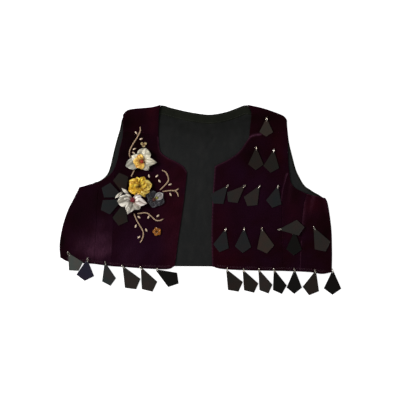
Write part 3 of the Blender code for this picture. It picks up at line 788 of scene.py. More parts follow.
class Smoke(Enum):
    """The tints of the mirror plates, matched plate by plate to how light or dark each looked: partly
    the acrylic's smoke and partly painted reflection.
    """

    SILVERED = SmokedMirror("acrylic mirror, silvered", colour="4e4d49")
    PEWTER = SmokedMirror("smoked acrylic mirror, pewter", colour="2e302f")
    ASH = SmokedMirror("smoked acrylic mirror, ash", colour="352e28")
    BRONZE = SmokedMirror("smoked acrylic mirror, bronze", colour="2c2825")
    BROWN = SmokedMirror("smoked acrylic mirror, brown", colour="241f1b")
    STEEL = SmokedMirror("smoked acrylic mirror, steel", colour="222223")
    VIOLET = SmokedMirror("smoked acrylic mirror, violet", colour="242132")
    BLACK = SmokedMirror("smoked acrylic mirror, black", colour="0f0e0c")


# ------------------------------------------------------------------ pieces


def add_piece(
    name: str, skin: Skin, finishes: Sequence[Finish], body: str, smooth_faces: bool = True
) -> bpy.types.Object:
    """Makes a mesh object at the origin, which rides on a body.

    Args:
        name: The piece's name.
        skin: Its mesh.
        finishes: Its materials, in the order that the mesh numbers them.
        body: The body that it rides on.
        smooth_faces: Whether its faces are shaded smooth.
    Returns:
        The object.
    """
    mesh = bpy.data.meshes.new(name)
    faces, numbers = skin.sealed()
    mesh.from_pydata(skin.points, [], faces)
    corners, sizes = np.empty(len(mesh.loops), np.int64), np.empty(len(mesh.polygons), np.int64)
    mesh.loops.foreach_get("vertex_index", corners)
    mesh.polygons.foreach_get("loop_total", sizes)
    uv = skin.uv[corners]
    starts = np.concatenate([[0], np.cumsum(sizes)[:-1]])
    spans = np.maximum.reduceat(uv[:, 0], starts) - np.minimum.reduceat(uv[:, 0], starts)
    uv[:, 0] += np.repeat(spans > 0.5, sizes) & (uv[:, 0] < 0.5)
    mesh.uv_layers.new(name="UVMap").data.foreach_set("uv", uv.ravel())
    mesh.polygons.foreach_set("use_smooth", np.full(len(mesh.polygons), smooth_faces))
    mesh.polygons.foreach_set("material_index", numbers)
    for finish in finishes:
        mesh.materials.append(finish.made())
    mesh.validate()
    mesh.update()
    made = bpy.data.objects.new(name, mesh)
    bpy.context.scene.collection.objects.link(made)
    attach(made, body)
    LOG.info("%s: %d faces on %s", name, len(mesh.polygons), body)
    return made


# ------------------------------------------------------------------ how the cloth is cut and lies


@dataclass(frozen=True)
class Half:
    """The plan curves of one half of the vest, in mm. Each is a few points that a smooth curve joins."""

    side: str
    sign: int
    side_fold: Points
    back_armhole: Points
    shoulder_fold: Points
    strap_neck: Points
    strap_armhole: Points
    shoulder_seam: Points
    neck: Points
    front_edge: Points
    front_armhole: Points
    side_armhole: Points
    under_arm: Points
    princess: Points
    side_seam: Points
    hem_centre: Points
    hem_side: Points
    hem_wrap: Points


LEFT = Half(
    side="left",
    sign=1,
    side_fold=((251, -138), (251.5, -100), (250.5, -62), (247.5, -33), (243, -7), (238.5, 3)),
    back_armhole=(
        (226.5, 8), (212.5, 16), (198.5, 27.5), (189.5, 42.5), (182.5, 58), (175.5, 84.5),
        (170, 107.5), (167, 132), (166, 145),
    ),
    shoulder_fold=((91, 180), (120.5, 173.5), (150.5, 163), (161, 157.5), (165.5, 150)),
    strap_neck=((91, 180), (98, 166), (96, 141.5), (94, 118)),
    strap_armhole=((165.5, 150), (166.5, 127.5)),
    shoulder_seam=((94, 118), (119, 124.5), (143, 126.5), (166.5, 127.5)),
    neck=((28.5, 62), (32.5, 65), (56, 77), (74.5, 90.5), (87, 107.5), (94, 118)),
    front_edge=((23.5, -127.5), (22.5, -75), (23, -29.5), (25.5, 20), (28.5, 62)),
    front_armhole=((170, 51.5), (168.5, 65.5), (167.5, 89), (166.5, 127.5)),
    side_armhole=((170, 51.5), (172, 35), (176.5, 26.5), (184.5, 19.5), (195.5, 14.5), (203.5, 10.5)),
    under_arm=((203.5, 10.5), (220, 6.5), (238.5, 3)),
    princess=((158, -136), (156, -58), (157, 6.5), (164, 37), (170, 51.5)),
    side_seam=((189.5, -137), (192.5, -67.5), (197.5, -10.5), (203.5, 10.5)),
    hem_centre=((23.5, -127.5), (41, -132), (81, -134.5), (158, -136)),
    hem_side=((158, -136), (189.5, -137)),
    hem_wrap=((189.5, -137), (212.5, -138.5), (232, -141.5), (251, -138)),
)

RIGHT = Half(
    side="right",
    sign=-1,
    side_fold=(
        (-265, -110), (-266.6, -90), (-264.5, -69.5), (-259, -44.5), (-250.5, -20), (-241, -1),
        (-228.5, 23.5),
    ),
    back_armhole=(
        (-208.5, 28.5), (-191, 35.5), (-178.5, 45), (-171.5, 58.5), (-163.5, 92), (-157.5, 115),
        (-152, 133.5), (-148.5, 152),
    ),
    shoulder_fold=((-74.5, 180), (-92.5, 175.5), (-125.5, 172.5), (-139, 169), (-146, 160.5)),
    strap_neck=((-74.5, 180), (-77.5, 166), (-78.5, 141.5), (-78.5, 119)),
    strap_armhole=((-146, 160.5), (-146, 130)),
    shoulder_seam=((-78.5, 119), (-100.5, 125.5), (-125, 129), (-146, 130)),
    neck=((-24.5, 52), (-31.5, 63), (-46, 72), (-61, 79.5), (-73, 88.5), (-77, 99), (-78.5, 119)),
    front_edge=((-47.5, -126.5), (-39, -62.5), (-31.5, -12.5), (-26.5, 29.5), (-24.5, 52)),
    front_armhole=((-161, 62), (-156.5, 76), (-152, 98), (-147.5, 115), (-146, 130)),
    side_armhole=((-161, 62), (-167, 51.5), (-177.5, 42), (-190.5, 33)),
    under_arm=((-190.5, 33), (-208.5, 28), (-228.5, 23.5)),
    princess=((-168.5, -127), (-165, -58), (-163.5, 6.5), (-162, 37), (-161, 62)),
    side_seam=((-201, -122.5), (-197, -58), (-193.5, 8.5), (-190.5, 33)),
    hem_centre=((-47.5, -126.5), (-61, -132.5), (-101, -131.5), (-136.5, -129), (-168.5, -127)),
    hem_side=((-168.5, -127), (-201, -122.5)),
    hem_wrap=((-201, -122.5), (-227.5, -120.5), (-250, -118), (-265, -110)),
)

HALVES = (LEFT, RIGHT)
NECKLINE = (
    (-72.5, 179), (-66, 178.2), (-57, 175), (-26, 167.5), (4, 162.5), (23, 161.5), (50, 166.5), (74, 175.2),
    (82, 178.4), (89, 179.3),
)
BACK_HEM = (
    (-238, -115.5), (-189.5, -119.5), (-94.5, -125.5), (-41.5, -127), (27, -127.5), (114.5, -130.5),
    (209.5, -135),
)

# Soft ridges that lift the fronts off the lining: from, to, height and half width, in mm.
RIDGES = (
    # x0, y0, x1, y1, height, width
    (60, 60, 60, -40, 0.8, 16),
    (128, 70, 120, -30, 1.0, 14),
    (100, -70, 104, -136, 1.0, 12),
    (176, 4, 174, -136, 1.1, 9),
    (-58, 60, -76, -30, 0.9, 16),
    (-120, 80, -136, 40, 0.7, 12),
    (-112, -60, -120, -132, 1.1, 13),
    (-180, 20, -184, -120, 1.0, 9),
    (-216, -60, -236, -112, 0.8, 10),
)


# Creases of the lining between the fronts, as above; a negative height is a trough.
CREASES = (
    # x0, y0, x1, y1, height, width
    (0, 88, 21, 121, 0.8, 4),
    (19, 94, 35, 123, 0.7, 3.5),
    (10, 90, 28, 121, -0.5, 3),
    (-7, 30, -6.5, -54, -0.6, 4.5),
    (-19, 26, -21, -40, 0.5, 7),
    (8, 37, 10, -40, 0.7, 7),
    (-17, 75, 6, 64, 0.6, 3.5),
    (0, 64, 23, 75, 0.5, 4),
    (-9, -85, 6, -65, 0.8, 5),
    (-53, 143, -57, 94, 0.6, 7),
    (57, 147, 69, 113, 0.6, 7),
    (-19, 132, -17, 102, -0.4, 6),
    (-34, -115, 19, -111, 0.5, 5),
    (-40, 108, -22, 84, 0.5, 5),
    (-28, -60, -20, -98, 0.5, 6),
)


@dataclass(frozen=True)
class Fold:
    """A line that the velvet turns over.

    Attributes:
        edge: The fold's outer edge, in mm.
        cuts: The cut edges of the upper layer from the two ends of the edge inward, in mm.
        turn: 1 where the edge has the vest's outside on its left, or -1.
        radius: Of the fold, in metres.
        reach: How far from its ends the fold turns square to its edge, in metres.
    """

    edge: Points
    cuts: tuple[Points, Points]
    turn: int
    radius: float
    reach: float = 14 * MM

    def cut(self, end: int, shares: Array) -> Array:
        """The cut edge at one end of the fold, in metres, from a radius inside the outer edge."""
        length = walked(smooth(self.cuts[end], even(40)))[-1] * MM
        start = self.radius / length
        return smooth(self.cuts[end], start + (1 - start) * shares) * MM

    def walk(self, shares: Array) -> tuple[Array, Array]:
        """The fold's centre line, and the unit vectors out of the vest.

        Args:
            shares: Where to stop along the edge.
        Returns:
            Plan points in metres, and the vectors: along the cut edges at the two ends, and square
            to the edge between them.
        """
        edge = smooth(self.edge, shares) * MM
        outward = to_left_of(edge) * self.turn
        far = walked(edge)
        for end, away in ((0, far), (-1, far[-1] - far)):
            along = unit(edge[end] - self.cut(end, np.zeros(1))[0])
            near = 1 - fade(away / self.reach)[:, None]
            outward = outward * (1 - near) + along * near
        outward = unit(outward)
        return edge - outward * self.radius, outward


@dataclass
class Lay:
    """The heights at which the cloth lies, taken from the frame, and the lines that it turns over."""

    gap: float = 0.3 * MM
    seam_gap: float = 0.005 * MM
    velvet: float = 1.6 * MM
    side_fold_radius: float = 4.0 * MM
    shoulder_fold_radius: float = 3.6 * MM
    side_fold_reach: float = 42 * MM
    shoulder_fold_reach: float = 26 * MM
    relief: float = 0.12 * MM
    line_steps: int = 60

    def __post_init__(self) -> None:
        """Reads the lining's place, and works out the fold lines."""
        low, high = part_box("back_lining")
        self.lining_z, self.lining = low[2], high[2] - low[2]
        self.front_z = high[2] + self.gap
        self.side_fold, self.shoulder_fold, self.side_line, self.shoulder_line = {}, {}, {}, {}
        for half in HALVES:
            cuts = (half.hem_wrap[::-1], half.under_arm[::-1])
            side = Fold(half.side_fold, cuts, -half.sign, self.side_fold_radius)
            cuts = (half.strap_neck, half.strap_armhole)
            shoulder = Fold(half.shoulder_fold, cuts, half.sign, self.shoulder_fold_radius)
            self.side_fold[half.side], self.shoulder_fold[half.side] = side, shoulder
            self.side_line[half.side] = side.walk(even(self.line_steps))[0]
            self.shoulder_line[half.side] = shoulder.walk(even(self.line_steps))[0]

    def underside(self, x: Array, y: Array) -> Array:
        """Height of the underside of the upper layer: a Gaussian rise towards each fold, and a
        Gaussian ridge about each line of RIDGES."""
        side_height = 2 * self.side_fold_radius - self.velvet - self.front_z
        shoulder_height = 2 * self.shoulder_fold_radius - self.velvet - self.front_z
        rise = np.zeros(np.shape(x))
        for half in HALVES:
            fold = self.side_line[half.side]
            away = half.sign * (np.interp(y, fold[:, 1], fold[:, 0]) - x)
            over = np.exp(-((np.maximum(away, 0) / self.side_fold_reach) ** 2))
            rise = np.maximum(rise, side_height * over)
            fold = self.shoulder_line[half.side]
            order = np.argsort(fold[:, 0])
            away = np.interp(x, fold[order, 0], fold[order, 1]) - y
            over = np.exp(-((np.maximum(away, 0) / self.shoulder_fold_reach) ** 2))
            rise = np.maximum(rise, np.where(half.sign * x > 0, shoulder_height * over, 0))
        return self.front_z + rise + ridges(x, y, RIDGES) * (1 - rise / side_height)

    def on_top(self, plan: Array) -> Array:
        """The points on the velvet's upper face over the places of a plan line or grid, in metres."""
        x, y = plan[..., 0], plan[..., 1]
        return np.stack([x, y, self.underside(x, y) + self.velvet], axis=-1)

    def middle(self, plan: Array) -> Array:
        """The points midway through the upper layer's velvet, with its faint unevenness."""
        x, y = plan[..., 0], plan[..., 1]
        uneven = self.relief * ripples(x, y, 26 * MM, seed=3, stretch=2.2)
        return np.stack([x, y, self.underside(x, y) + self.velvet / 2 + uneven], axis=-1)


def back_patch(top: Array, right: Array, left: Array, tuck: float = 0.0) -> Array:
    """The plan of a layer of the back: a Coons patch between its top, its sides and its hem.

    Args:
        top: The top edge from right to left, in metres.
        right: The right side from the hem up, in metres.
        left: The left side from the hem up, in metres.
        tuck: How far the hem is above the velvet's, in metres.
    Returns:
        A grid of plan points, in metres.
    """
    share = (top[:, 0] - top[0, 0]) / (top[-1, 0] - top[0, 0])
    hem = smooth(np.vstack([right[:1] / MM, np.array(BACK_HEM) + (0, tuck / MM), left[:1] / MM]), share) * MM
    hem[0], hem[-1] = right[0], left[0]
    return coons(hem, top, right, left)


@dataclass
class VelvetShell:
    """The velvet: the back with its turned-over shoulders and sides, and the four front panels."""

    lay: Lay
    low: Array = field(default_factory=lambda: graded(190, start=9, end=3, coarse=2.8))
    high: Array = field(default_factory=lambda: graded(76, end=3, coarse=2.6))
    centre: Array = field(default_factory=lambda: graded(138, start=5, end=3, coarse=2.7))
    side: Array = field(default_factory=lambda: graded(34, start=3, end=3, coarse=2.6))
    shoulder: Array = field(default_factory=lambda: graded(76, start=3, end=3, coarse=3.0))
    fold_steps: int = 12
    notch: float = 0.5
    strip: Array = field(default_factory=lambda: graded(54, end=3, coarse=2.8))

    # Patches of tone: centre, half sizes and turn, then crimson, violet, light and dark. Crimson and
    # violet are the nap's own tone, light is a painted sheen highlight and dark is painted shade. A
    # row that names nodes is for those panels alone, because the nap changes at a seam.
    TONES = (
        # x, y, long, wide, turn, crimson, violet, light, dark, nodes
        (45, -110, 40, 24, 0, 0.5, 0, 0, 0, ""),
        (40, -40, 18, 60, 0, 0.4, 0, 0, 0, "front_centre_left"),
        (110, 0, 54, 60, 0, 0.1, 0.6, 0, 0, ""),
        (70, 60, 24, 20, 30, 0.1, 0.5, 0, 0, "front_centre_left"),
        (126, 150, 46, 26, 0, 0.5, -0.6, 0, 0.8, ""),
        (150, 100, 10, 34, 0, 0.5, -0.4, 0, 0.1, ""),
        (96, 82, 16, 20, 0, 0, -0.4, 0, 0.6, "front_centre_left"),
        (238, -64, 16, 50, 0, 0.5, -0.3, 0, 0.8, "back"),
        (212, -10, 20, 18, 0, 0.7, 0, 0.04, 0, "back"),
        (198, -20, 3.5, 40, -4, 0.2, 0, 0.15, 0, "back"),
        (216, 6, 3, 22, -12, 0.2, 0, 0.3, 0, "back"),
        (172, 20, 3, 20, -8, 0.2, 0, 0.15, 0, "front_side_left"),
        (176, -30, 12, 50, 0, 0.6, 0.2, 0, 0, "front_side_left"),
        (178, 18, 12, 20, 0, 0.3, 0, 0, 0.8, "front_side_left"),
        (238, -4, 3, 22, 10, 0.4, 0, 0.15, 0, "back"),
        (-46, 20, 22, 80, 4, 0.5, 0, 0.05, 0, "front_centre_right"),
        (-56, -80, 18, 60, 8, 0.9, 0.1, 0.06, 0, "front_centre_right"),
        (-112, -84, 46, 44, 0, 0.1, 0.9, 0.03, 0, "front_centre_right"),
        (-140, -104, 22, 18, 0, 0, 0.5, 0.1, 0, "front_centre_right"),
        (-193, -92, 34, 20, -8, 0, 0.7, 0.42, 0, "front_side_right back"),
        (-202, -98, 22, 10, -10, 0, 0.4, 0.22, 0, "front_side_right back"),
        (-184, -62, 22, 20, 60, 0, 0.5, 0.14, 0, "front_side_right back"),
        (-262, -80, 9, 34, 10, 0.2, 0.3, 0, 0.8, "back"),
        (-248, -24, 20, 36, 30, 0.1, 0.2, 0.02, 0.8, "back"),
        (-196, -6, 26, 30, 0, 0, 0.2, 0.03, 0.7, "front_side_right back"),
        (-150, 10, 20, 60, 0, 0, 0.1, 0, 0.6, "front_centre_right"),
        (-134, 148, 28, 32, 0, 0.4, -0.5, 0, 0.75, ""),
        (-120, 96, 32, 28, 0, 0, -0.2, 0, 0.7, "front_centre_right"),
        (-90, 160, 9, 26, 0, 0.8, -0.4, 0.05, 0.1, ""),
        (-62, 84, 26, 8, -25, 0.3, 0.2, 0.06, 0, "front_centre_right"),
    )

    # Lines of painted highlight, where rolled edges and seams catch the light: points, light, half
    # width, and a node or all.
    HIGHLIGHT_LINES = (
        (LEFT.front_edge, 0.75, 2.0, "front_centre_left"),
        (LEFT.neck, 0.5, 2.0, "front_centre_left"),
        (RIGHT.front_edge, 0.1, 2.0, "front_centre_right"),
        (RIGHT.neck, 0.5, 2.0, "front_centre_right"),
        (((92, 117), (102, 121.5), (116, 124)), 1.1, 1.5, ""),
        (((166, 49), (160, 24), (155, -2)), 0.75, 1.5, "front_centre_left"),
        (((200, 6), (196.5, -20), (194, -60)), 0.3, 2.0, "back"),
        (((192, -80), (190.5, -104), (189.5, -136)), 0.6, 1.4, "back"),
    )

    def front_centre(self, half: Half) -> Skin:
        """The centre front: a Coons patch from its neck and front edge to the princess seam."""
        seam = np.array([half.sign * self.lay.seam_gap, 0])
        near = joined(smooth(half.front_edge, self.low), smooth(half.neck, self.high)) * MM
        far = joined(smooth(half.princess, self.low), smooth(half.front_armhole, self.high)) * MM - seam
        hem = smooth(half.hem_centre, self.centre) * MM
        shoulder = smooth(half.shoulder_seam, self.centre) * MM - (0, self.lay.seam_gap)
        near[0], near[-1], hem[-1] = hem[0], shoulder[0], far[0]
        far[-1] -= (0, 2 * self.lay.seam_gap)
        shoulder[-1] = far[-1]
        return self.panel(coons(hem, shoulder, near, far), half)

    def front_side(self, half: Half) -> Skin:
        """The side front: a Coons patch from the princess seam to the side seam."""
        seam = np.array([half.sign * self.lay.seam_gap, 0])
        near = smooth(half.princess, self.low) * MM + seam
        far = smooth(half.side_seam, self.low) * MM - seam
        hem = smooth(half.hem_side, self.side) * MM
        armhole = smooth(half.side_armhole, self.side) * MM
        hem[0], hem[-1], armhole[0], armhole[-1] = near[0], far[0], near[-1], far[-1]
        return self.panel(coons(hem, armhole, near, far), half)

    def panel(self, plan: Array, half: Half) -> Skin:
        """A front panel's middle surface, its faces up."""
        return Skin.grid(self.lay.middle(plan), flip=half.sign < 0)

    def turned_over(self, line: Array, outward: Array, strip: Array) -> Array:
        """Velvet that turns over a fold line: half circles about the line, then the strip of the
        upper layer that they lead to.

        Args:
            line: The fold's centre line in plan, in metres.
            outward: Unit plan vectors out of the vest, one for each of its points.
            strip: Plan points of the strip, a row for each point of the line.
        Returns:
            Points of the middle surface, a row for each point of the line, from the surface up.
        """
        upper = self.lay.middle(strip)
        under = self.lay.velvet / 2
        centre_z = (upper[:, 0, 2] + under) / 2
        angle = -math.pi / 2 + math.pi * np.arange(1, self.fold_steps)[None, :, None] / self.fold_steps
        radius = (centre_z - under)[:, None, None]
        plan = line[:, None] + outward[:, None] * radius * np.cos(angle)
        height = centre_z[:, None, None] + radius * np.sin(angle)
        first = np.column_stack([line, np.full(len(line), under)])[:, None]
        return np.concatenate([first, np.concatenate([plan, height], axis=2), upper], axis=1)

    def wrap(self, fold: Fold, seam: Array, shares: Array) -> tuple[Array, Array]:
        """The velvet turned over a fold as far as a seam.

        Args:
            fold: The fold.
            seam: Plan points of the seam, in metres.
            shares: Where along the fold each of them belongs.
        Returns:
            The fold's line, and the points of the middle surface, a row for each point of the line.
        """
        line, outward = fold.walk(shares)
        start, end = fold.cut(0, self.strip), fold.cut(-1, self.strip)
        start[0], start[-1], end[0], end[-1] = line[0], seam[0], line[-1], seam[-1]
        return line, self.turned_over(line, outward, coons(start, end, line, seam))

    def back(self) -> Skin:
        """The back: a flat patch that lies on the surface, welded to its four wraps."""
        sides, shoulders, chains = {}, {}, {}
        for half in HALVES:
            seam = smooth(half.side_seam, self.low) * MM + (half.sign * self.lay.seam_gap, 0)
            sides[half.side] = self.wrap(self.lay.side_fold[half.side], seam, self.low)
            seam = smooth(half.shoulder_seam, self.shoulder) * MM + (0, self.lay.seam_gap)
            shoulders[half.side] = self.wrap(self.lay.shoulder_fold[half.side], seam, self.shoulder)
            armhole = smooth(half.back_armhole, self.high) * MM
            armhole[-1] = shoulders[half.side][0][-1]
            chains[half.side] = np.vstack([sides[half.side][0], armhole])
        left_top, right_top = shoulders["left"][0], shoulders["right"][0]
        left, right = (
            np.array([half.shoulder_fold[0]]) - (half.sign * self.notch, self.notch) for half in HALVES
        )
        rim = np.vstack([right_top[:1] / MM, right, np.array(NECKLINE), left, left_top[:1] / MM])
        neck = smooth(rim, even(60)) * MM
        neck[0], neck[-1] = right_top[0], left_top[0]
        plan = back_patch(joined(right_top[::-1], neck, left_top), chains["right"], chains["left"])
        flat = np.concatenate([plan, np.full((*plan.shape[:2], 1), self.lay.velvet / 2)], axis=2)
        parts = [Skin.grid(flat, flip=True)]
        for half in HALVES:
            for rows in (sides[half.side][1], shoulders[half.side][1]):
                cells = rows.shape[1] - 1
                parts.append(Skin.grid(rows).face_up(slice(cells - 1, None, cells)))
        return Skin.together(parts).welded()

    def tones(self, points: Array, node: str) -> Array:
        """How far the velvet leans to its own crimson and violet, to a painted sheen highlight and to
        painted shade: the soft sum of turned Gaussians, broken up by ripples, and the highlight lines."""
        x, y = points[:, 0], points[:, 1]
        total = np.zeros((len(points), 4))
        uneven = 1 + 0.35 * ripples(x, y, 30 * MM, seed=8)
        for row in self.TONES:
            cx, cy, long, wide, turn, *weights, panels = row
            if panels and node not in panels.split():
                continue
            cos, sin = math.cos(math.radians(turn)), math.sin(math.radians(turn))
            u = ((x - cx * MM) * cos + (y - cy * MM) * sin) / (long * MM)
            v = ((y - cy * MM) * cos - (x - cx * MM) * sin) / (wide * MM)
            spot = np.exp(-(u * u + v * v) / 2 * 1.6) * uneven
            total += spot[:, None] * np.array(weights)
        # Painted highlight along rolled edges and seams.
        for line, light, half_width, panel in self.HIGHLIGHT_LINES:
            if panel in ("", node):
                away = reach_of(x, y, smooth(line, even(40)) * MM)
                total[:, 2] += light * np.exp(-((away / half_width / MM) ** 2)) * (0.7 + 0.3 * uneven)
        return np.clip(total, 0, 1)

    def dress(self, name: str, middle: Skin) -> None:
        """Makes one velvet panel from its middle surface, in place of its node.

        Args:
            name: The node.
            middle: The surface midway through the velvet.
        """
        skin = middle.walled(self.lay.velvet, inner_finish=1)
        skin.points[:, 2] = np.maximum(skin.points[:, 2], 0)
        made = add_piece(f"velvet_{name}", skin, (VELVET, LINING), "vest")
        tone = made.data.attributes.new("tone", "FLOAT_COLOR", "POINT")
        tone.data.foreach_set("color", self.tones(skin.points, name).ravel())
        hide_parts(name)

    def build(self) -> None:
        """Makes the five velvet pieces."""
        self.dress("back", self.back())
        for half in HALVES:
            self.dress(f"front_centre_{half.side}", self.front_centre(half))
            self.dress(f"front_side_{half.side}", self.front_side(half))


@dataclass
class LiningSet:
    """The lining, the tape that faces the back neckline, and the bindings of the armholes."""

    lay: Lay
    inset: float = 0.4 * MM
    facing_width: float = 17 * MM
    facing_ends: tuple[float, float] = (5 * MM, 8 * MM)
    binding_width: float = 3 * MM
    tuck: float = 2 * MM
    slack: float = 0.65 * MM
    ripple: float = 0.16 * MM

    def level(self, plan: Array, lift: Array | float = 0.0) -> Array:
        """Plan points raised to the middle of the lining's layer, and by a lift."""
        z = np.broadcast_to(self.lay.lining_z + self.lay.lining / 2 + lift, plan.shape[:-1])
        return np.concatenate([plan, z[..., None]], axis=-1)

    def neck(self) -> Array:
        """The back neckline between the shoulder folds, from right to left."""
        ends = [self.lay.shoulder_line[half.side][:1] / MM for half in HALVES]
        return smooth(np.vstack([ends[1], np.array(NECKLINE), ends[0]]), even(90)) * MM

    def facing(self) -> tuple[Array, Array]:
        """The facing's upper and lower edges, moved in square to the neckline. Its ends slant out
        under the straps."""
        neck = self.neck()
        into = -to_left_of(neck)
        top = neck + into * self.inset
        foot = neck + into * (self.inset + self.facing_width)
        foot[0] = top[0] - (self.facing_ends[0], self.facing_width)
        foot[-1] = top[-1] + (self.facing_ends[1], -self.facing_width)
        share = even(len(foot) - 1)
        slant = foot[0, 0] + share * (foot[-1, 0] - foot[0, 0])
        square = fade(np.minimum(share, 1 - share) / 0.12)
        foot[:, 0] = slant * (1 - square) + foot[:, 0] * square
        ends = np.where(share > 0.5, foot[-1, 1], foot[0, 1])
        foot[:, 1] += np.interp(share, [0, 0.06, 0.94, 1], [1, 0, 0, 1]) * (ends - foot[:, 1])
        return top, foot

    def painted_nape_shade(self, points: Array) -> Array:
        """How dark the painted shade on the lining is at the nape, falling off below the neckline by a
        Gaussian.
        """
        x, y = points[:, 0], points[:, 1]
        below = np.maximum(reach_of(x, y, self.neck()) - self.facing_width, 0)
        uneven = 1 + 0.3 * ripples(x, y, 22 * MM, seed=14)
        return np.clip(0.62 * np.exp(-((below / (34 * MM)) ** 2)) * uneven, 0, 1)

    def open_share(self, plan: Array) -> Array:
        """1 where nothing lies on the lining, falling to 0 before the fronts' edges."""
        x, y = plan[..., 0], plan[..., 1]
        gaps = []
        for half in HALVES:
            front, neck = smooth(half.front_edge, even(40)), smooth(half.neck, even(30))
            edge = joined(front, neck, smooth(half.strap_neck, even(12))[::-1]) * MM
            order = np.argsort(edge[:, 1])
            gaps.append(half.sign * (np.interp(y, edge[order, 1], edge[order, 0]) - x))
        return fade((np.minimum(*gaps) - 2 * MM) / (14 * MM))

    def creases(self, plan: Array) -> Array:
        """How far the lining stands off the back: an even slack with the creases placed on it, and
        small ripples between them."""
        x, y = plan[..., 0], plan[..., 1]
        waves = ripples(x + 0.3 * y, y, 26 * MM, seed=21, stretch=1.6) + 0.6 * ripples(x, y, 11 * MM, seed=5)
        lift = self.slack + ridges(x, y, CREASES) + self.ripple * waves
        return np.clip(lift, 0, 1.7 * MM) * self.open_share(plan)

    def lining(self) -> Skin:
        """The lining: a Coons patch a little inside the back, under the folds and the fronts."""
        low, high = even(52), even(34)
        knots = even(self.lay.line_steps)
        chains, shoulders = {}, {}
        for half in HALVES:
            side = between(low, knots, self.lay.side_line[half.side])
            armhole = smooth(half.back_armhole, high) * MM
            armhole[-1] = self.lay.shoulder_line[half.side][-1]
            chain = np.vstack([side, armhole])
            inset = np.full(len(chain), self.inset + self.binding_width + self.lay.gap)
            inset[: len(low)] = self.tuck
            chain = chain + to_left_of(chain) * half.sign * inset[:, None]
            chain[:, 1] += self.tuck * (1 - even(len(chain) - 1)) ** 8
            chains[half.side] = chain
            line = between(even(24), knots, self.lay.shoulder_line[half.side])
            line = line - to_left_of(line) * half.sign * self.tuck
            line[-1] = chain[-1]
            shoulders[half.side] = line
        foot = self.facing()[1] - (0, self.lay.gap)
        right, left = shoulders["right"][::-1], shoulders["left"]
        right, left = right[right[:, 0] < foot[0, 0] - MM], left[left[:, 0] > foot[-1, 0] + MM]
        plan = back_patch(np.vstack([right, foot, left]), chains["right"], chains["left"], self.tuck)
        return Skin.grid(self.level(plan, self.creases(plan)))

    def tape(self, near: Array, far: Array, steps: int, crown: float) -> Skin:
        """A band between two lines, crowned across its width by a parabola."""
        share = even(steps)[None, :, None]
        plan = near[:, None] * (1 - share) + far[:, None] * share
        return Skin.grid(self.level(plan, crown * 4 * (share * (1 - share))[..., 0])).face_up()

    def build(self) -> None:
        """Makes the lining, the facing and the bindings, with the stitches that hold the facing."""
        lining = self.lining()
        skin = lining.walled(self.lay.lining)
        made = add_piece("lining", skin, [LINING], "vest")
        # The tone attribute carries the painted shade below the back neckline.
        tone = made.data.attributes.new("tone", "FLOAT", "POINT")
        tone.data.foreach_set("value", self.painted_nape_shade(skin.points))
        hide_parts("back_lining")
        lining.area()
        top, foot = self.facing()
        facing = self.tape(top, foot, 8, 0.12 * MM)
        made = add_piece("neck_facing_tape", facing.walled(self.lay.lining), [EDGING], "vest")
        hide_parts("neck_facing")
        for half in HALVES:
            line = smooth(half.back_armhole, even(70))[1:-1] * MM
            inward = to_left_of(line) * half.sign
            near, far = line + inward * self.inset, line + inward * (self.inset + self.binding_width)
            name = f"armhole_binding_{half.side}"
            binding = self.tape(near, far, 5, 0.1 * MM)
            made = add_piece(f"tape_{name}", binding.walled(self.lay.lining), [EDGING], "vest")
            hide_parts(name)
            binding.area()
        rows = []
        for share in (0.16, 0.86):
            path = self.level(top * (1 - share) + foot * share, self.lay.lining / 2 + 0.1 * MM)
            rows.append(Stitches().along(path))
        add_piece("facing_stitches", Skin.together(rows), [TAPE_THREAD], "vest")


@dataclass
class Stitches:
    """A row of machine stitches: short sunk beads of thread, each a stretched ball."""

    length: float = 2.3 * MM
    gap: float = 0.9 * MM
    width: float = 0.32 * MM
    slant: float = 0.06
    hem_rows: tuple[float, float] = (4.6 * MM, 6.4 * MM)
    ring_room: float = 3.4 * MM

    def along(self, path: Array, seed: int = 1) -> Skin:
        """Lays the row along a path on the cloth, except beside the stitches of the rings.

        Args:
            path: Points on the surface, in metres.
            seed: Picks each stitch's small slant.
        Returns:
            The stitches.
        """
        far = walked(path)
        at = np.arange(self.length, far[-1] - self.length / 2, self.length + self.gap)
        spots = between(at, far, path)
        x, y = unit((between(at + 0.5 * MM, far, path) - spots)[:, :2]).T
        slant = np.random.default_rng(seed).normal(0, self.slant, len(at))
        cos, sin = np.cos(slant), np.sin(slant)
        heading = np.column_stack([x * cos - y * sin, x * sin + y * cos])
        rings = np.array([joint["pos_m"][:2] for joint in frame["joints"]])
        clear = np.linalg.norm(spots[:, None, :2] - rings[None], axis=2).min(axis=1) > self.ring_room
        spots, heading = spots[clear], heading[clear]
        return strewn(pebble(6, 5), spots, heading, np.array([self.length / 2, self.width, self.width]))

    def seams(self, lay: Lay) -> None:
        """Two rows above each front's hem."""
        for half in HALVES:
            centre, side = smooth(half.hem_centre, even(90)), smooth(half.hem_side, even(20))
            hem = joined(centre, side, smooth(half.hem_wrap, even(40))) * MM
            inward = to_left_of(hem) * half.sign
            paths = [(hem + inward * away)[4:-6] for away in self.hem_rows]
            rows = [self.along(lay.on_top(path), seed=number) for number, path in enumerate(paths)]
            add_piece(f"hem_stitches_{half.side}", Skin.together(rows), [SEWING], "vest")


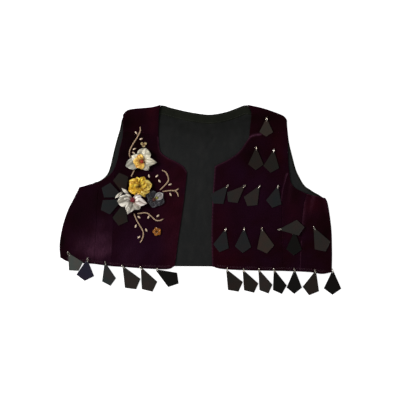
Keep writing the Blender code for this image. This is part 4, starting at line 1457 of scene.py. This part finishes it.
@dataclass
class MirrorPlate:
    """One kite-shaped mirror plate and its ring, placed on its node.

    The node's mesh gives the plate's plane, its blunt tip and the way it points. The plate is a loop
    carried round the kite: from the hole's upper edge down to its lower one, out to the rim and back.
    """

    node: str
    smoke: Smoke
    body: str = "vest"
    hole: float = 1.1 * MM
    hole_from_tip: float = 2.2 * MM
    bevel: float = 0.25 * MM
    hole_bevel: float = 0.15 * MM
    corner: float = 0.6 * MM
    ring_wire: float = 0.5 * MM
    ring_half_width: float = 1.75 * MM
    ring_lean: float = 58.0
    ring_rise: float = 0.7 * MM

    def __post_init__(self) -> None:
        """Reads the plate's frame and outline from the node."""
        mesh = frame["nodes"][self.node].data
        points = np.empty(len(mesh.vertices) * 3)
        mesh.vertices.foreach_get("co", points)
        points = np.unique(np.round(points.reshape(-1, 3), 6), axis=0)
        centred = points - points.mean(axis=0)
        _, _, axes = np.linalg.svd(centred, full_matrices=False)
        up = axes[2] * np.sign(axes[2][2])
        self.thickness = float(np.ptp(centred @ up))
        flat = points - np.outer(centred @ up, up)
        gaps = np.linalg.norm(flat[:, None] - flat[None], axis=2)
        gaps[gaps < 0.5 * MM] = np.inf
        one, other = np.unravel_index(gaps.argmin(), gaps.shape)
        tip = (flat[one] + flat[other]) / 2
        far = flat[np.linalg.norm(flat - tip, axis=1).argmax()]
        forward = unit(far - tip)
        self.frame = np.stack([forward, np.cross(up, forward), up])
        self.tip = tip
        place = (flat - tip) @ self.frame.T
        self.length = float(place[:, 0].max())
        self.half_width = float(place[:, 1].max())
        self.shoulder = float(place[place[:, 1].argmax(), 0])
        self.blunt = float(np.abs(place[place[:, 0] < MM, 1]).max())

    def placed(self, plan: Array, height: float) -> Array:
        """The vest's frame's points for places in the plate's own plane, from its blunt tip, and a
        height over that plane."""
        return self.tip + plan @ self.frame[:2] + height * self.frame[2]

    def outline(self) -> Array:
        """The kite with each corner rounded by an arc, as points counter-clockwise from the tip."""
        corners = np.array([
            (0, -self.blunt), (self.shoulder, -self.half_width), (self.length, 0),
            (self.shoulder, self.half_width), (0, self.blunt),
        ])
        corners = corners[:, None]
        before = unit(corners - np.roll(corners, 1, axis=0)) * self.corner
        after = unit(np.roll(corners, -1, axis=0) - corners) * self.corner
        share = even(5)[None, :, None]
        arcs = corners - (1 - share) ** 2 * before + share**2 * after
        lines = []
        for arc, following in zip(arcs, np.roll(arcs, -1, axis=0)):
            lines += [arc, arc[-1] + (following[0] - arc[-1]) * even(7)[1:-1, None]]
        return np.vstack(lines)

    def plate(self) -> Skin:
        """The plate: lines from the hole to the outline, swept through the profile of its edge."""
        outline = self.outline()
        middle = np.array([self.hole_from_tip, 0])
        spokes = outline - middle
        reach = np.linalg.norm(spokes, axis=1)[:, None]
        toward = spokes / reach
        top, edge = self.thickness / 2, self.thickness / 2 - self.bevel * 0.7
        # The profile: how far each line lies out from the hole, or in from the rim, and its height.
        low = top - self.hole_bevel
        hole = ((self.hole_bevel, top), (0.0, low), (0.0, -low), (self.hole_bevel, -top))
        rim = ((self.bevel, -top), (0.0, -edge), (0.0, edge), (self.bevel, top))
        lines = [(middle + toward * (self.hole + away), height) for away, height in hole]
        lines += [(outline - toward * np.minimum(away, reach / 2), height) for away, height in rim]
        return Skin.grid(np.stack([self.placed(*line) for line in (*lines, lines[0])]), around=True)

    def ring(self, stitch: Array) -> Skin:
        """The oval jump ring: a flattened circle that runs through the hole and to the stitch,
        standing almost on edge."""
        hole = self.tip + self.hole_from_tip * self.frame[0]
        long = np.linalg.norm(hole - stitch) / 2 + self.hole * 0.4
        along = unit(hole - stitch)
        side = unit(np.cross(self.frame[2], along))
        lean = math.radians(self.ring_lean)
        across = math.cos(lean) * side + math.sin(lean) * self.frame[2]
        angle = round_turn(36)[:, None]
        middle = (hole + stitch) / 2 + self.frame[2] * self.ring_rise
        path = middle + along * long * np.cos(angle) + across * self.ring_half_width * np.sin(angle)
        return closed_loop(path, self.ring_wire)

    def build(self, stitch: Array | None) -> None:
        """Makes the plate, and its ring if it hangs from a stitch."""
        short = self.node.removeprefix("plate_")
        skin = self.plate()
        made = add_piece(f"mirror_{short}", skin, [self.smoke.value], self.body, False)
        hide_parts(self.node)
        if stitch is not None:
            add_piece(f"ring_{short}", self.ring(stitch), [WIRE], self.body)


@dataclass
class PlateSet:
    """All the mirror plates, and the thread that sews each ring down."""

    lay: Lay
    tucked_lean: float = 6.0
    tucked_rise: float = 0.1 * MM
    thread: float = 0.26 * MM
    knot_width: float = 1.15 * MM
    knot_spacing: float = 0.55 * MM
    knot_from_stitch: float = 0.7 * MM
    knot_least: float = 0.8 * MM

    TINTS = {
        Smoke.SILVERED: ("hem_right_1",),
        Smoke.PEWTER: ("hem_right_3",),
        Smoke.ASH: ("front_1", "front_10"),
        Smoke.BRONZE: (
            "front_5", "front_6", "front_11", "front_13", "hem_left_3", "hem_right_4", "hem_right_5",
        ),
        Smoke.BROWN: ("front_2", "front_3", "hem_left_1", "hem_left_2", "hem_left_6", "fan_1", "fan_4"),
        Smoke.STEEL: ("front_4", "front_7", "front_8", "front_9", "fan_2", "fan_3"),
        Smoke.VIOLET: ("hem_right_2",),
        # BLACK on front_12 is painted shade under plate front_11; the other tints are partly smoke and
        # partly painted reflection.
        Smoke.BLACK: ("front_12", "hem_left_4", "hem_left_5", "hem_left_7", "hem_right_6"),
    }

    def build(self) -> None:
        """Makes each plate on its node, with its ring where a joint gives its stitch."""
        stitches = {joint["child"]: np.array(joint["pos_m"]) for joint in frame["joints"]}
        tucked = {joint["child"] for joint in frame["joints"] if joint["name"].startswith("swing")}
        knots = []
        for smoke, shorts in self.TINTS.items():
            for short in shorts:
                body = f"pendant_{short}" if f"pendant_{short}" in stitches else "vest"
                plate = MirrorPlate(f"plate_{short}", smoke, body)
                if body in tucked:
                    plate.ring_lean, plate.ring_rise = self.tucked_lean, self.tucked_rise
                stitch = stitches.get(body)
                plate.build(stitch)
                if stitch is not None:
                    knots += self.knot(stitch, plate.frame[0], plate.ring_rise)
        add_piece("ring_knots", Skin.together(knots), [SEWING], "vest")

    def knot(self, stitch: Array, along: Array, above: float) -> list[Skin]:
        """Three turns of thread over the end of a ring: short arches side by side, their feet in
        the velvet."""
        side = np.array([-along[1], along[0], 0]) / math.hypot(along[0], along[1])
        floor = self.lay.on_top(stitch[None, :2])[0]
        rise = max(stitch[2] - floor[2] + above, self.knot_least)
        feet = [floor + along * (self.knot_from_stitch + turn * self.knot_spacing) for turn in (-1, 0, 1)]
        return [arch(foot, side * self.knot_width, rise, self.thread, 6) for foot in feet]


@dataclass(frozen=True)
class Petal:
    """One folded petal, in mm and degrees.

    Its half width grows from the root by a sine and closes by an ellipse, or by a straight line if
    it comes to a point. Its height rises from the root to a crest, then droops; its edges stand up
    by cup and then roll over; a fold stands along its middle, or sinks if it is negative; pleats
    fan out of the root, and the rim is ruffled.
    """

    heading: float
    reach: float
    width: float
    point: float
    base: float
    rise: float
    droop: float
    cup: float
    roll: float
    fold: float
    pleats: float
    depth: float
    ruffle: float = 0.7
    waves: float = 2.5
    crest: float = 0.6
    start: float = 1.0
    narrow: float = 0.35
    root: tuple[float, float] = (0.0, 0.0)
    crumple: float = 0.6
    least: float = 0.3

    def surface(self, centre: Array, floor: float, seed: int) -> Skin:
        """The petal's middle surface.

        Args:
            centre: The flower's middle in plan, in metres.
            floor: Height that it stands on, in metres.
            seed: Picks where its pleats and ruffles fall.
        Returns:
            The surface, u across and v from root to tip.
        """
        # Rows lie closer towards the root and the tip, and columns towards the two edges.
        s = (1 - np.cos(np.pi * np.linspace(0.03, 0.985, 28)))[:, None] / 2
        t = np.sin(np.pi / 2 * np.linspace(-1, 1, 31))[None, :]
        phase, other, third = np.random.default_rng(seed).uniform(0, 2 * np.pi, 3)
        opening = self.narrow + (1 - self.narrow) * np.sin(np.pi / 2 * np.minimum(s / 0.6, 1))
        past = np.clip((s - 0.6) / 0.4, 0, 1)
        closing = (1 - self.point) * np.sqrt(np.maximum(1 - past**2, 0)) + self.point * (1 - past) ** 0.9
        u = self.start + self.reach * s - 0.06 * self.reach * t**2
        v = t * self.width / 2 * opening * closing
        full = np.sin(np.pi * s) ** 0.5
        rise = self.rise * np.sin(np.pi / 2 * np.minimum(s / self.crest, 1))
        fall = self.droop * (np.maximum(s - self.crest, 0) / (1 - self.crest)) ** 2
        edges = self.cup * t**2 - self.roll * np.maximum((np.abs(t) - 0.7) / 0.3, 0) ** 2
        pleat = np.abs(np.sin(np.pi * self.pleats * t / 2 + phase)) ** 0.8 - 0.5
        pleat = self.depth * pleat * (1 - 0.5 * s)
        fold = self.fold * np.exp(-(((t - 0.12 * np.sin(3 * s + other)) / 0.2) ** 2))
        ruffle = self.ruffle * np.sin(np.pi * self.waves * t + third) * s**1.5
        crumple = self.crumple * np.sin(7 * s + 3 * t + other) * np.sin(5 * t - 4 * s + third)
        z = self.base + rise - fall + (edges + pleat + fold + ruffle + crumple) * full
        z = np.maximum(z, self.least)
        cos, sin = math.cos(math.radians(self.heading)), math.sin(math.radians(self.heading))
        x = centre[0] / MM + self.root[0] + u * cos - v * sin
        y = centre[1] / MM + self.root[1] + u * sin + v * cos
        points = np.stack(np.broadcast_arrays(x, y, floor / MM + z), axis=-1) * MM
        uv = np.stack(np.broadcast_arrays((t + 1) / 2, s), axis=-1)
        return Skin.grid(points, uv).face_up()


def petals(*rows: Sequence[float], **shared: float) -> tuple[Petal, ...]:
    """Petals from the rows of a table, with what else they share."""
    return tuple(Petal(*row, **shared) for row in rows)


@dataclass(frozen=True)
class Layer:
    """Petals of one finish."""

    name: str
    finish: Finish
    slot: str
    petals: tuple[Petal, ...]


@dataclass(frozen=True)
class Flower:
    """A sewn flower: where it stands, its layers of petals and its heart."""

    node: str
    centre: tuple[float, float]
    layers: tuple[Layer, ...]
    heart: Finish
    heart_at: tuple[float, float] = (0.0, 0.0)
    heart_size: float = 3.4
    heart_lift: float = 4.5
    stamens: int = 9
    wall: float = 0.35 * MM

    def build(self) -> None:
        """Makes the layers, the first in place of the node, and the heart."""
        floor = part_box(self.node)[0][2]
        centre = np.array(self.centre) * MM
        for number, layer in enumerate(self.layers):
            seeds = (31 * number + 7 * k + len(self.node) for k in range(len(layer.petals)))
            skins = [petal.surface(centre, floor, seed) for petal, seed in zip(layer.petals, seeds)]
            skin = Skin.together([skin.walled(self.wall, rim=2) for skin in skins])
            made = add_piece(f"{self.node}_{layer.name}", skin, [layer.finish], "vest")
            if number == 0:
                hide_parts(self.node)
        self.make_heart(centre, floor)

    def make_heart(self, centre: Array, floor: float) -> None:
        """The heart: a spiral ring of looped thread, each loop a bent tube, round a pad and a knot."""
        middle = np.array([*(centre + np.array(self.heart_at) * MM), floor + self.heart_lift * MM])
        size = self.heart_size * MM
        turn = np.linspace(0, np.pi, 9)[:, None]
        parts = []
        for k in range(self.stamens):
            out = np.array([math.cos(GOLDEN_ANGLE * k), math.sin(GOLDEN_ANGLE * k), 0])
            reach = size * (0.45 + 0.55 * math.sqrt((k + 0.5) / self.stamens))
            height = size * 0.55 * (1.1 - 0.5 * k / self.stamens)
            path = middle + out * reach * (0.15 + 0.85 * np.sin(turn / 2)) + UP * height * np.sin(turn)
            parts.append(tube(path, np.full(9, size * 0.17), sides=7))
        east = np.array([[1.0, 0.0]])
        for around, lift, half_sizes in ((12, 0.1, (0.8, 0.8, 0.3)), (10, 0.35, (0.42, 0.42, 0.36))):
            place = (middle + UP * size * lift)[None]
            parts.append(strewn(pebble(around, 8), place, east, size * np.array(half_sizes)))
        add_piece(f"{self.node}_heart", Skin.together(parts), [self.heart], "vest")


@dataclass
class VineWork:
    """Couched vines: a two-ply cord laid on the velvet and caught down by thread, with leaf beads."""

    lay: Lay
    width: float = 2.3 * MM
    twist: float = 4.8 * MM
    catch_every: float = 7 * MM
    thread: float = 0.17 * MM
    bead: tuple[float, float, float] = (3.4 * MM, 1.7 * MM, 1.35 * MM)

    STEMS = (
        ((-132, 79), (-133.5, 90), (-129, 101.5), (-119.5, 117), (-113, 130), (-113.5, 138.5)),
        ((-124, 56), (-127, 50), (-130.5, 43)),
        ((-72, 56), (-63.5, 50.5), (-59.5, 37), (-66, 27.5), (-75.5, 18)),
        ((-71, 15), (-57, 17), (-47, 17), (-39.5, 21)),
        ((-47, 17), (-42.5, 12), (-40.5, 5)),
        ((-119, -27), (-102, -25.5), (-93, -31), (-84, -39), (-76, -40), (-69, -37)),
        ((-125, -26.5), (-119, -41), (-110, -56), (-107, -66), (-110, -77), (-113.5, -82)),
    )
    LEAVES = (
        # x, y, heading
        (-121, 126.5, 125), (-111.5, 115, 20), (-124, 96, 30), (-125.5, 88.5, -35),
        (-96.5, 44.5, 100), (-81.5, 44.5, 40), (-76.5, 35, -55), (-56.5, 28.5, 20),
        (-55.5, 9.5, -60), (-97.5, -33.5, 250), (-79.5, -31, 40), (-115.5, -33.5, -40),
        (-121.5, -50.5, 70), (-101.5, -58, 115), (-115.5, -71.5, 40),
    )

    def cord(self, stem: Points) -> Skin:
        """One cord: a tube whose radius ripples twice round it as the plies wind, drawn in where a
        stitch catches it and to a point at both ends."""
        length = walked(np.array(stem))[-1] * MM
        steps = max(24, round(length / (0.55 * MM)))
        along = even(steps)[:, None] * length
        radius = self.width / 2
        path = self.lay.on_top(smooth(stem, even(steps)) * MM) + UP * radius * 0.75
        plies = 1 + 0.13 * np.cos(2 * (round_turn(10)[None] + 2 * np.pi * along / self.twist))
        caught = 1 - 0.22 * np.exp(-(((along % self.catch_every) / self.catch_every - 0.5) * 12) ** 2)
        ends = fade(along / (2.5 * MM)) * fade((length - along) / (3 * MM)) * 0.6 + 0.4
        return tube(path, radius * plies * caught * ends, sides=10, flat=0.85)

    def catches(self, stem: Points) -> list[Skin]:
        """The stitches over one cord: arches square to it, a spacing apart."""
        length = walked(np.array(stem))[-1] * MM
        at = np.arange(0.5 * self.catch_every, length, self.catch_every) / length
        ahead = unit(smooth(stem, np.minimum(at + 0.01, 1)) - smooth(stem, at - 0.01))
        side = 0.56 * self.width * np.column_stack([-ahead[:, 1], ahead[:, 0], np.zeros(len(at))])
        feet = self.lay.on_top(smooth(stem, at) * MM)
        return [arch(*each, 0.8 * self.width, self.thread, 5) for each in zip(feet, side)]

    def build(self) -> None:
        """Makes the cords, their catches and the leaf beads."""
        cords = Skin.together([self.cord(stem) for stem in self.STEMS])
        add_piece("vine_cords", cords, [CORD], "vest")
        catches = [catch for stem in self.STEMS for catch in self.catches(stem)]
        add_piece("vine_catches", Skin.together(catches), [COUCHING], "vest")
        rows = np.array(self.LEAVES)
        turn = np.radians(rows[:, 2])
        heading = np.column_stack([np.cos(turn), np.sin(turn)])
        places = self.lay.on_top(rows[:, :2] * MM) + UP * self.bead[2] * 0.8
        shape = pebble(12, 11)
        shape[..., 1:] *= 1 - 0.28 * np.abs(shape[..., :1]) ** 1.5
        beads = strewn(shape, places, heading, np.array(self.bead))
        add_piece("leaf_beads", beads, [PEARL], "vest")


def ribbon(dye: str, colour: str, root: str, fold: str, root_reach: float = 0.35) -> Satin:
    """Satin ribbon of one dye."""
    return Satin(f"{dye} polyester satin", colour=colour, root=root, fold=fold, root_reach=root_reach)


def floss(dye: str, colour: str, groove_shade: str) -> Thread:
    """Embroidery thread of one dye."""
    return Thread(f"{dye} embroidery thread", roughness=0.45, colour=colour, groove_shade=groove_shade, lay=1.2 * MM)


# Root colours are each ribbon's dye, darkened by painted shade where the petals crowd into the heart; fold
# colours are painted shade in the creases.
WHITE = ribbon("white", "f0e8d0", "b0983a", "85806c")
# A shaded copy of the white satin: its greyer colours are painted shade on the upper white flower's left
# petal.
SHADED_WHITE = Satin(
    "white polyester satin, shaded copy", colour="c0bcac", root="8f8756", fold="74756a", root_reach=0.2
)
IVORY = ribbon("ivory", "f6efe0", "5e5238", "706a5c", 0.32)
BLUSH = ribbon("blush", "fff6ec", "b98a5c", "a8928a", 0.3)
AMBER = ribbon("amber", "ffd66a", "984410", "d8862a", 0.55)
GOLD = ribbon("golden", "ffde4e", "5e3206", "b47a14", 0.6)
DEEP_GOLD = ribbon("deep gold", "f2be34", "502a06", "885608", 0.6)
PALE_GOLD = ribbon("pale gold", "ffe272", "7c520c", "b07a18", 0.7)
ORANGE = ribbon("orange", "a8661a", "4c2a06", "683e10", 0.4)
CREAM = ribbon("cream", "c4b084", "8f5c38", "a08450", 0.5)
OLIVE = ribbon("olive", "8e8a3c", "5a4a1c", "6f6a2c")
SHEER = Organza("smoky organza", roughness=0.4, colour="302d33", rim="676a70")
# A lit copy of the smoky organza: its pale colour and white rim are a painted highlight on one petal.
LIT_ORGANZA = Organza("lit organza", roughness=0.35, colour="a8a19e", rim="ffffff", alpha=0.6)
RED_THREAD = floss("red", "dc4614", "7c1c0a")
WINE_THREAD = floss("wine", "98202f", "3c0a16")
RUST_THREAD = floss("rust", "6e3a2a", "30140f")
BROWN_THREAD = floss("brown", "6a4518", "2c1a0a")

# Each petal's row: heading, reach, width, point, base, rise, droop, cup, roll, fold, pleats, depth.
FLOWERS = (
    Flower(
        "flower_white_upper", (-110, 72.5),
        (
            Layer("petals", WHITE, "satin_white", petals(
                (72, 25, 26, 0, 0.5, 8, 4, 3.5, 2.6, 2.4, 2, 2.2),
                (151, 21, 15, 0, 1.2, 6.5, 2.5, 2.5, 1.6, 1, 1.5, 1.2),
                (-5, 28, 16, 0.8, 2.6, 6.5, 4.5, 0.5, 1.6, 3.2, 3, 2),
                (-54, 20.5, 15, 0.15, 2.6, 5.6, 3.6, -1.5, 1.6, 1.4, 4, 1.5),
            )),
            # The left petal wears the shaded copy of the white satin: painted shade.
            Layer("left", SHADED_WHITE, "satin_white", petals(
                (196, 31, 22, 0.1, 0.3, 6.5, 3, 2.8, 2.2, -1.8, 2, 1.5),
            )),
            Layer("inner", AMBER, "satin_gold", petals(
                (112, 13.5, 13, 0, 6.6, 4.2, 1.4, 1.6, 0.8, 1.2, 3, 1.2),
                (184, 15.5, 14, 0, 6.3, 4, 1.4, 1.8, 0.8, -1, 3, 1.2),
                (228, 15, 13, 0, 6.1, 3.6, 1.4, 1.6, 0.8, 1, 3, 1.2),
                (-92, 14.5, 11, 0, 6.6, 3.6, 1.4, 1.4, 0.8, 0.8, 3, 1.2),
            )),
        ),
        RED_THREAD, heart_at=(0.4, -0.6), heart_size=3.5, heart_lift=9.6,
    ),
    Flower(
        "flower_gold", (-114.5, 24.5),
        (
            Layer("petals", GOLD, "satin_gold", petals(
                (148, 21, 18, 0, 0.8, 7.5, 3, 3.2, 2, 2.4, 2, 2),
                (106, 18, 12, 0, 0.4, 7, 2.5, 2, 1.6, -1.2, 2.5, 1.2),
                (64, 20, 14, 0, 0.9, 7.2, 3, 2.6, 1.6, 1.4, 2.5, 1.4),
                (28, 14.5, 14, 0, 4.2, 5, 1.2, 3.6, 1, -2.2, 2, 2),
                (142, 10.5, 11, 0, 4.6, 4.2, 1, 2.4, 0.8, 1, 2, 1.2),
            )),
            Layer("low", DEEP_GOLD, "satin_gold", petals(
                (200, 21, 20, 0, 1, 7, 2.6, 3.2, 2, -2.6, 2, 2.2),
                (240, 18, 15, 0, 0.6, 6.8, 2.6, 2.4, 1.6, 1.5, 2, 1.4),
                (270, 15, 14, 0, 1.3, 6.4, 2.2, 2.2, 1.6, 1.2, 2, 1.4),
                (222, 11.5, 14, 0, 4.3, 4.2, 1, 2.6, 0.8, -1.2, 2, 1.3),
                (300, 10, 11, 0, 4.4, 3.8, 1, 2.2, 0.8, 1, 2, 1.2),
            )),
            Layer("outer", PALE_GOLD, "satin_gold", petals(
                (10, 23, 21, 0, 0.2, 7, 3, 5, 1, -2.4, 2.5, 2),
                (-28, 21, 17, 0, 0.6, 7, 3, 3.4, 1, 1.2, 2.5, 1.2),
                (-62, 22, 12, 0.7, 1, 6.4, 4, 2, 1.6, 1.2, 1.5, 1.2),
            )),
        ),
        BROWN_THREAD, heart_at=(1, 1.5), heart_size=2.4, heart_lift=5.2, stamens=7,
    ),
    Flower(
        "flower_white_lower", (-127.5, -2),
        (
            Layer("petals", IVORY, "satin_white", (
                *petals(
                    (183, 28, 23, 0, 0.4, 7, 3.5, 2.8, 2, 3, 3, 2.2),
                    (150, 18, 14, 0, 1.5, 6, 2.5, 2, 1.6, -1.2, 2, 1.3),
                    (250, 27, 18, 0.8, 1.4, 7, 5, 0.5, 1.6, 3.6, 2, 2.2),
                    (-52, 20.5, 16, 0, 0.7, 6, 3.5, 1, 1.6, -2.4, 3, 2),
                ),
                Petal(
                    219, 18, 5.6, 0.6, 1.2, 3.8, 2.6, 0.8, 0.5, -0.5, 2, 0.3, ruffle=0.2, narrow=0.3,
                    root=(-18.5, 16.5),
                ),
                Petal(
                    139, 17.5, 5.8, 0.6, 2.2, 3.6, 2.4, 0.8, 0.5, -0.5, 2, 0.3, ruffle=0.2, narrow=0.4,
                    root=(-7, 11.5),
                ),
            )),
            Layer("right", BLUSH, "satin_white", petals(
                (-11, 27, 16, 0.45, 2, 7, 3.5, 4.5, 1.2, -2.6, 2, 1.8),
                (27, 17.5, 13, 0, 2.8, 5.6, 2, 2.6, 1, 1.2, 2, 1.2),
            )),
        ),
        WINE_THREAD, heart_at=(0.4, 1.2), heart_size=5.2, heart_lift=5.8, stamens=13,
    ),
    Flower(
        "flower_sheer", (-85, 0.5),
        (
            Layer("petals", SHEER, "organza_dark", petals(
                (130, 18, 19, 0, 0.2, 3.4, 1, 1.4, 0.6, 0, 1.5, 0.6),
                (195, 14, 14, 0, 0.6, 3, 1, 1, 0.6, 0, 1.5, 0.5),
                (252, 15.5, 15, 0, 0.3, 3, 1, 1.2, 0.6, 0, 1.5, 0.5),
                (306, 14, 13, 0, 0.7, 3, 1, 1, 0.6, 0, 1.5, 0.5),
                (-18, 17.5, 16, 0, 0.4, 3.4, 1, 1.4, 0.6, 0, 1.5, 0.6),
            )),
            # One petal in the lit copy of the organza: a painted highlight.
            Layer("pale", LIT_ORGANZA, "organza_dark", petals(
                (36, 17.5, 14, 0, 0.9, 4.2, 1, 2, 0.6, 0, 1.5, 0.6),
            )),
            Layer("inner", OLIVE, "satin_gold", petals(
                (38, 7, 5.5, 0, 2.6, 2, 0.6, 0.8, 0.3, 0, 2, 0.4), ruffle=0.3,
            )),
        ),
        RUST_THREAD, heart_at=(-1.5, -0.5), heart_size=3.6, heart_lift=2.8, stamens=11,
    ),
    Flower(
        "flower_small_orange", (-81.5, -61),
        (
            Layer("petals", ORANGE, "satin_orange", petals(
                *(
                    (108 + 72 * k, 8, 7.4, 0, 0.25 * (k % 3), 2, 0.5, 1, 0.5, -0.4, 1.5, 0.5)
                    for k in range(5)
                ),
                ruffle=0.3, start=0.3,
            )),
        ),
        BROWN_THREAD, heart_size=1.5, heart_lift=1.9, stamens=6,
    ),
    Flower(
        "flower_small_cream", (-106.5, 104),
        (
            Layer("petals", CREAM, "satin_cream", petals(
                (30, 6.5, 5.4, 0, 0, 1.5, 0.4, 0.7, 0.3, 0, 1, 0.3),
                (150, 6.5, 5.4, 0, 0.2, 1.5, 0.4, 0.7, 0.3, 0, 1, 0.3),
                (262, 4.6, 6, 0, 0.4, 1.5, 0.4, 0.7, 0.3, 0, 1, 0.3),
                ruffle=0.2, start=0.2,
            )),
        ),
        RUST_THREAD, heart_size=1.3, heart_lift=1.5, stamens=5,
    ),
)


@dataclass
class Studio:
    """A white floor, soft light from all round and a camera straight above."""

    span: float = 760 * MM
    height: float = 3.0
    centre: tuple[float, float] = (0.38 * MM, -0.95 * MM)
    sensor: float = 36.0
    floor_half: float = 8.0
    floor_z: float = -0.4 * MM
    zenith: float = 0.1
    horizon: float = 0.62
    key: float = 44.0

    def build(self) -> None:
        """Makes the floor, the lights and the camera."""
        self.floor()
        self.room()
        self.lamp("key", (-1.85, 0.55, 1.5), 0.8, self.key)
        self.lamp("fill", (1.9, -0.9, 1.1), 1.4, self.key * 0.2)
        self.camera()

    def add(self, name: str, data: bpy.types.ID) -> bpy.types.Object:
        """Puts an object into the scene."""
        made = bpy.data.objects.new(name, data)
        bpy.context.scene.collection.objects.link(made)
        return made

    def floor(self) -> None:
        """The paper under the vest, out of sight of its edges."""
        signs = ((-1, -1), (1, -1), (1, 1), (-1, 1))
        corners = [(x * self.floor_half, y * self.floor_half, self.floor_z) for x, y in signs]
        mesh = bpy.data.meshes.new("floor")
        mesh.from_pydata(corners, [], [(0, 1, 2, 3)])
        mesh.materials.append(PAPER.made())
        self.add("floor", mesh)

    def room(self) -> None:
        """Light from all round, which fades from the horizon up."""
        world = bpy.data.worlds.new("soft room")
        world.use_nodes = True
        nodes = Nodes(world.node_tree)
        height = nodes.parts(nodes.add("TexCoord", output="Generated"))[2]
        background = nodes.tree.nodes["Background"].inputs
        nodes.feed(background["Strength"], nodes.spread(height, 0.0, 1.0, self.horizon, self.zenith))
        nodes.feed(background["Color"], (1.0, 1.0, 1.0, 1.0))
        bpy.context.scene.world = world

    def lamp(self, name: str, place: tuple[float, float, float], size: float, power: float) -> None:
        """A square soft box that faces the vest."""
        light = bpy.data.lights.new(name, "AREA")
        light.size, light.energy = size, power
        made = self.add(name, light)
        made.location = place
        made.rotation_euler = Vector(place).to_track_quat("Z", "Y").to_euler()

    def camera(self) -> None:
        """A camera that looks straight down and takes in the span."""
        camera = bpy.data.cameras.new("camera")
        camera.sensor_width = self.sensor
        camera.lens = self.sensor * (self.height - 4 * MM) / self.span
        camera.clip_start, camera.clip_end = 0.1, 60.0
        made = self.add("camera", camera)
        made.location = (*self.centre, self.height)
        bpy.context.scene.camera = made
        bpy.context.scene.view_settings.view_transform = "Standard"


def main() -> None:
    """Builds the vest piece by piece, then the studio."""
    logging.basicConfig(level=logging.INFO, format="%(message)s")
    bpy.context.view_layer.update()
    lay = Lay()
    VelvetShell(lay).build()
    LiningSet(lay).build()
    Stitches().seams(lay)
    PlateSet(lay).build()
    for flower in FLOWERS:
        flower.build()
    VineWork(lay).build()
    Studio().build()


if __name__ == "__main__":
    main()
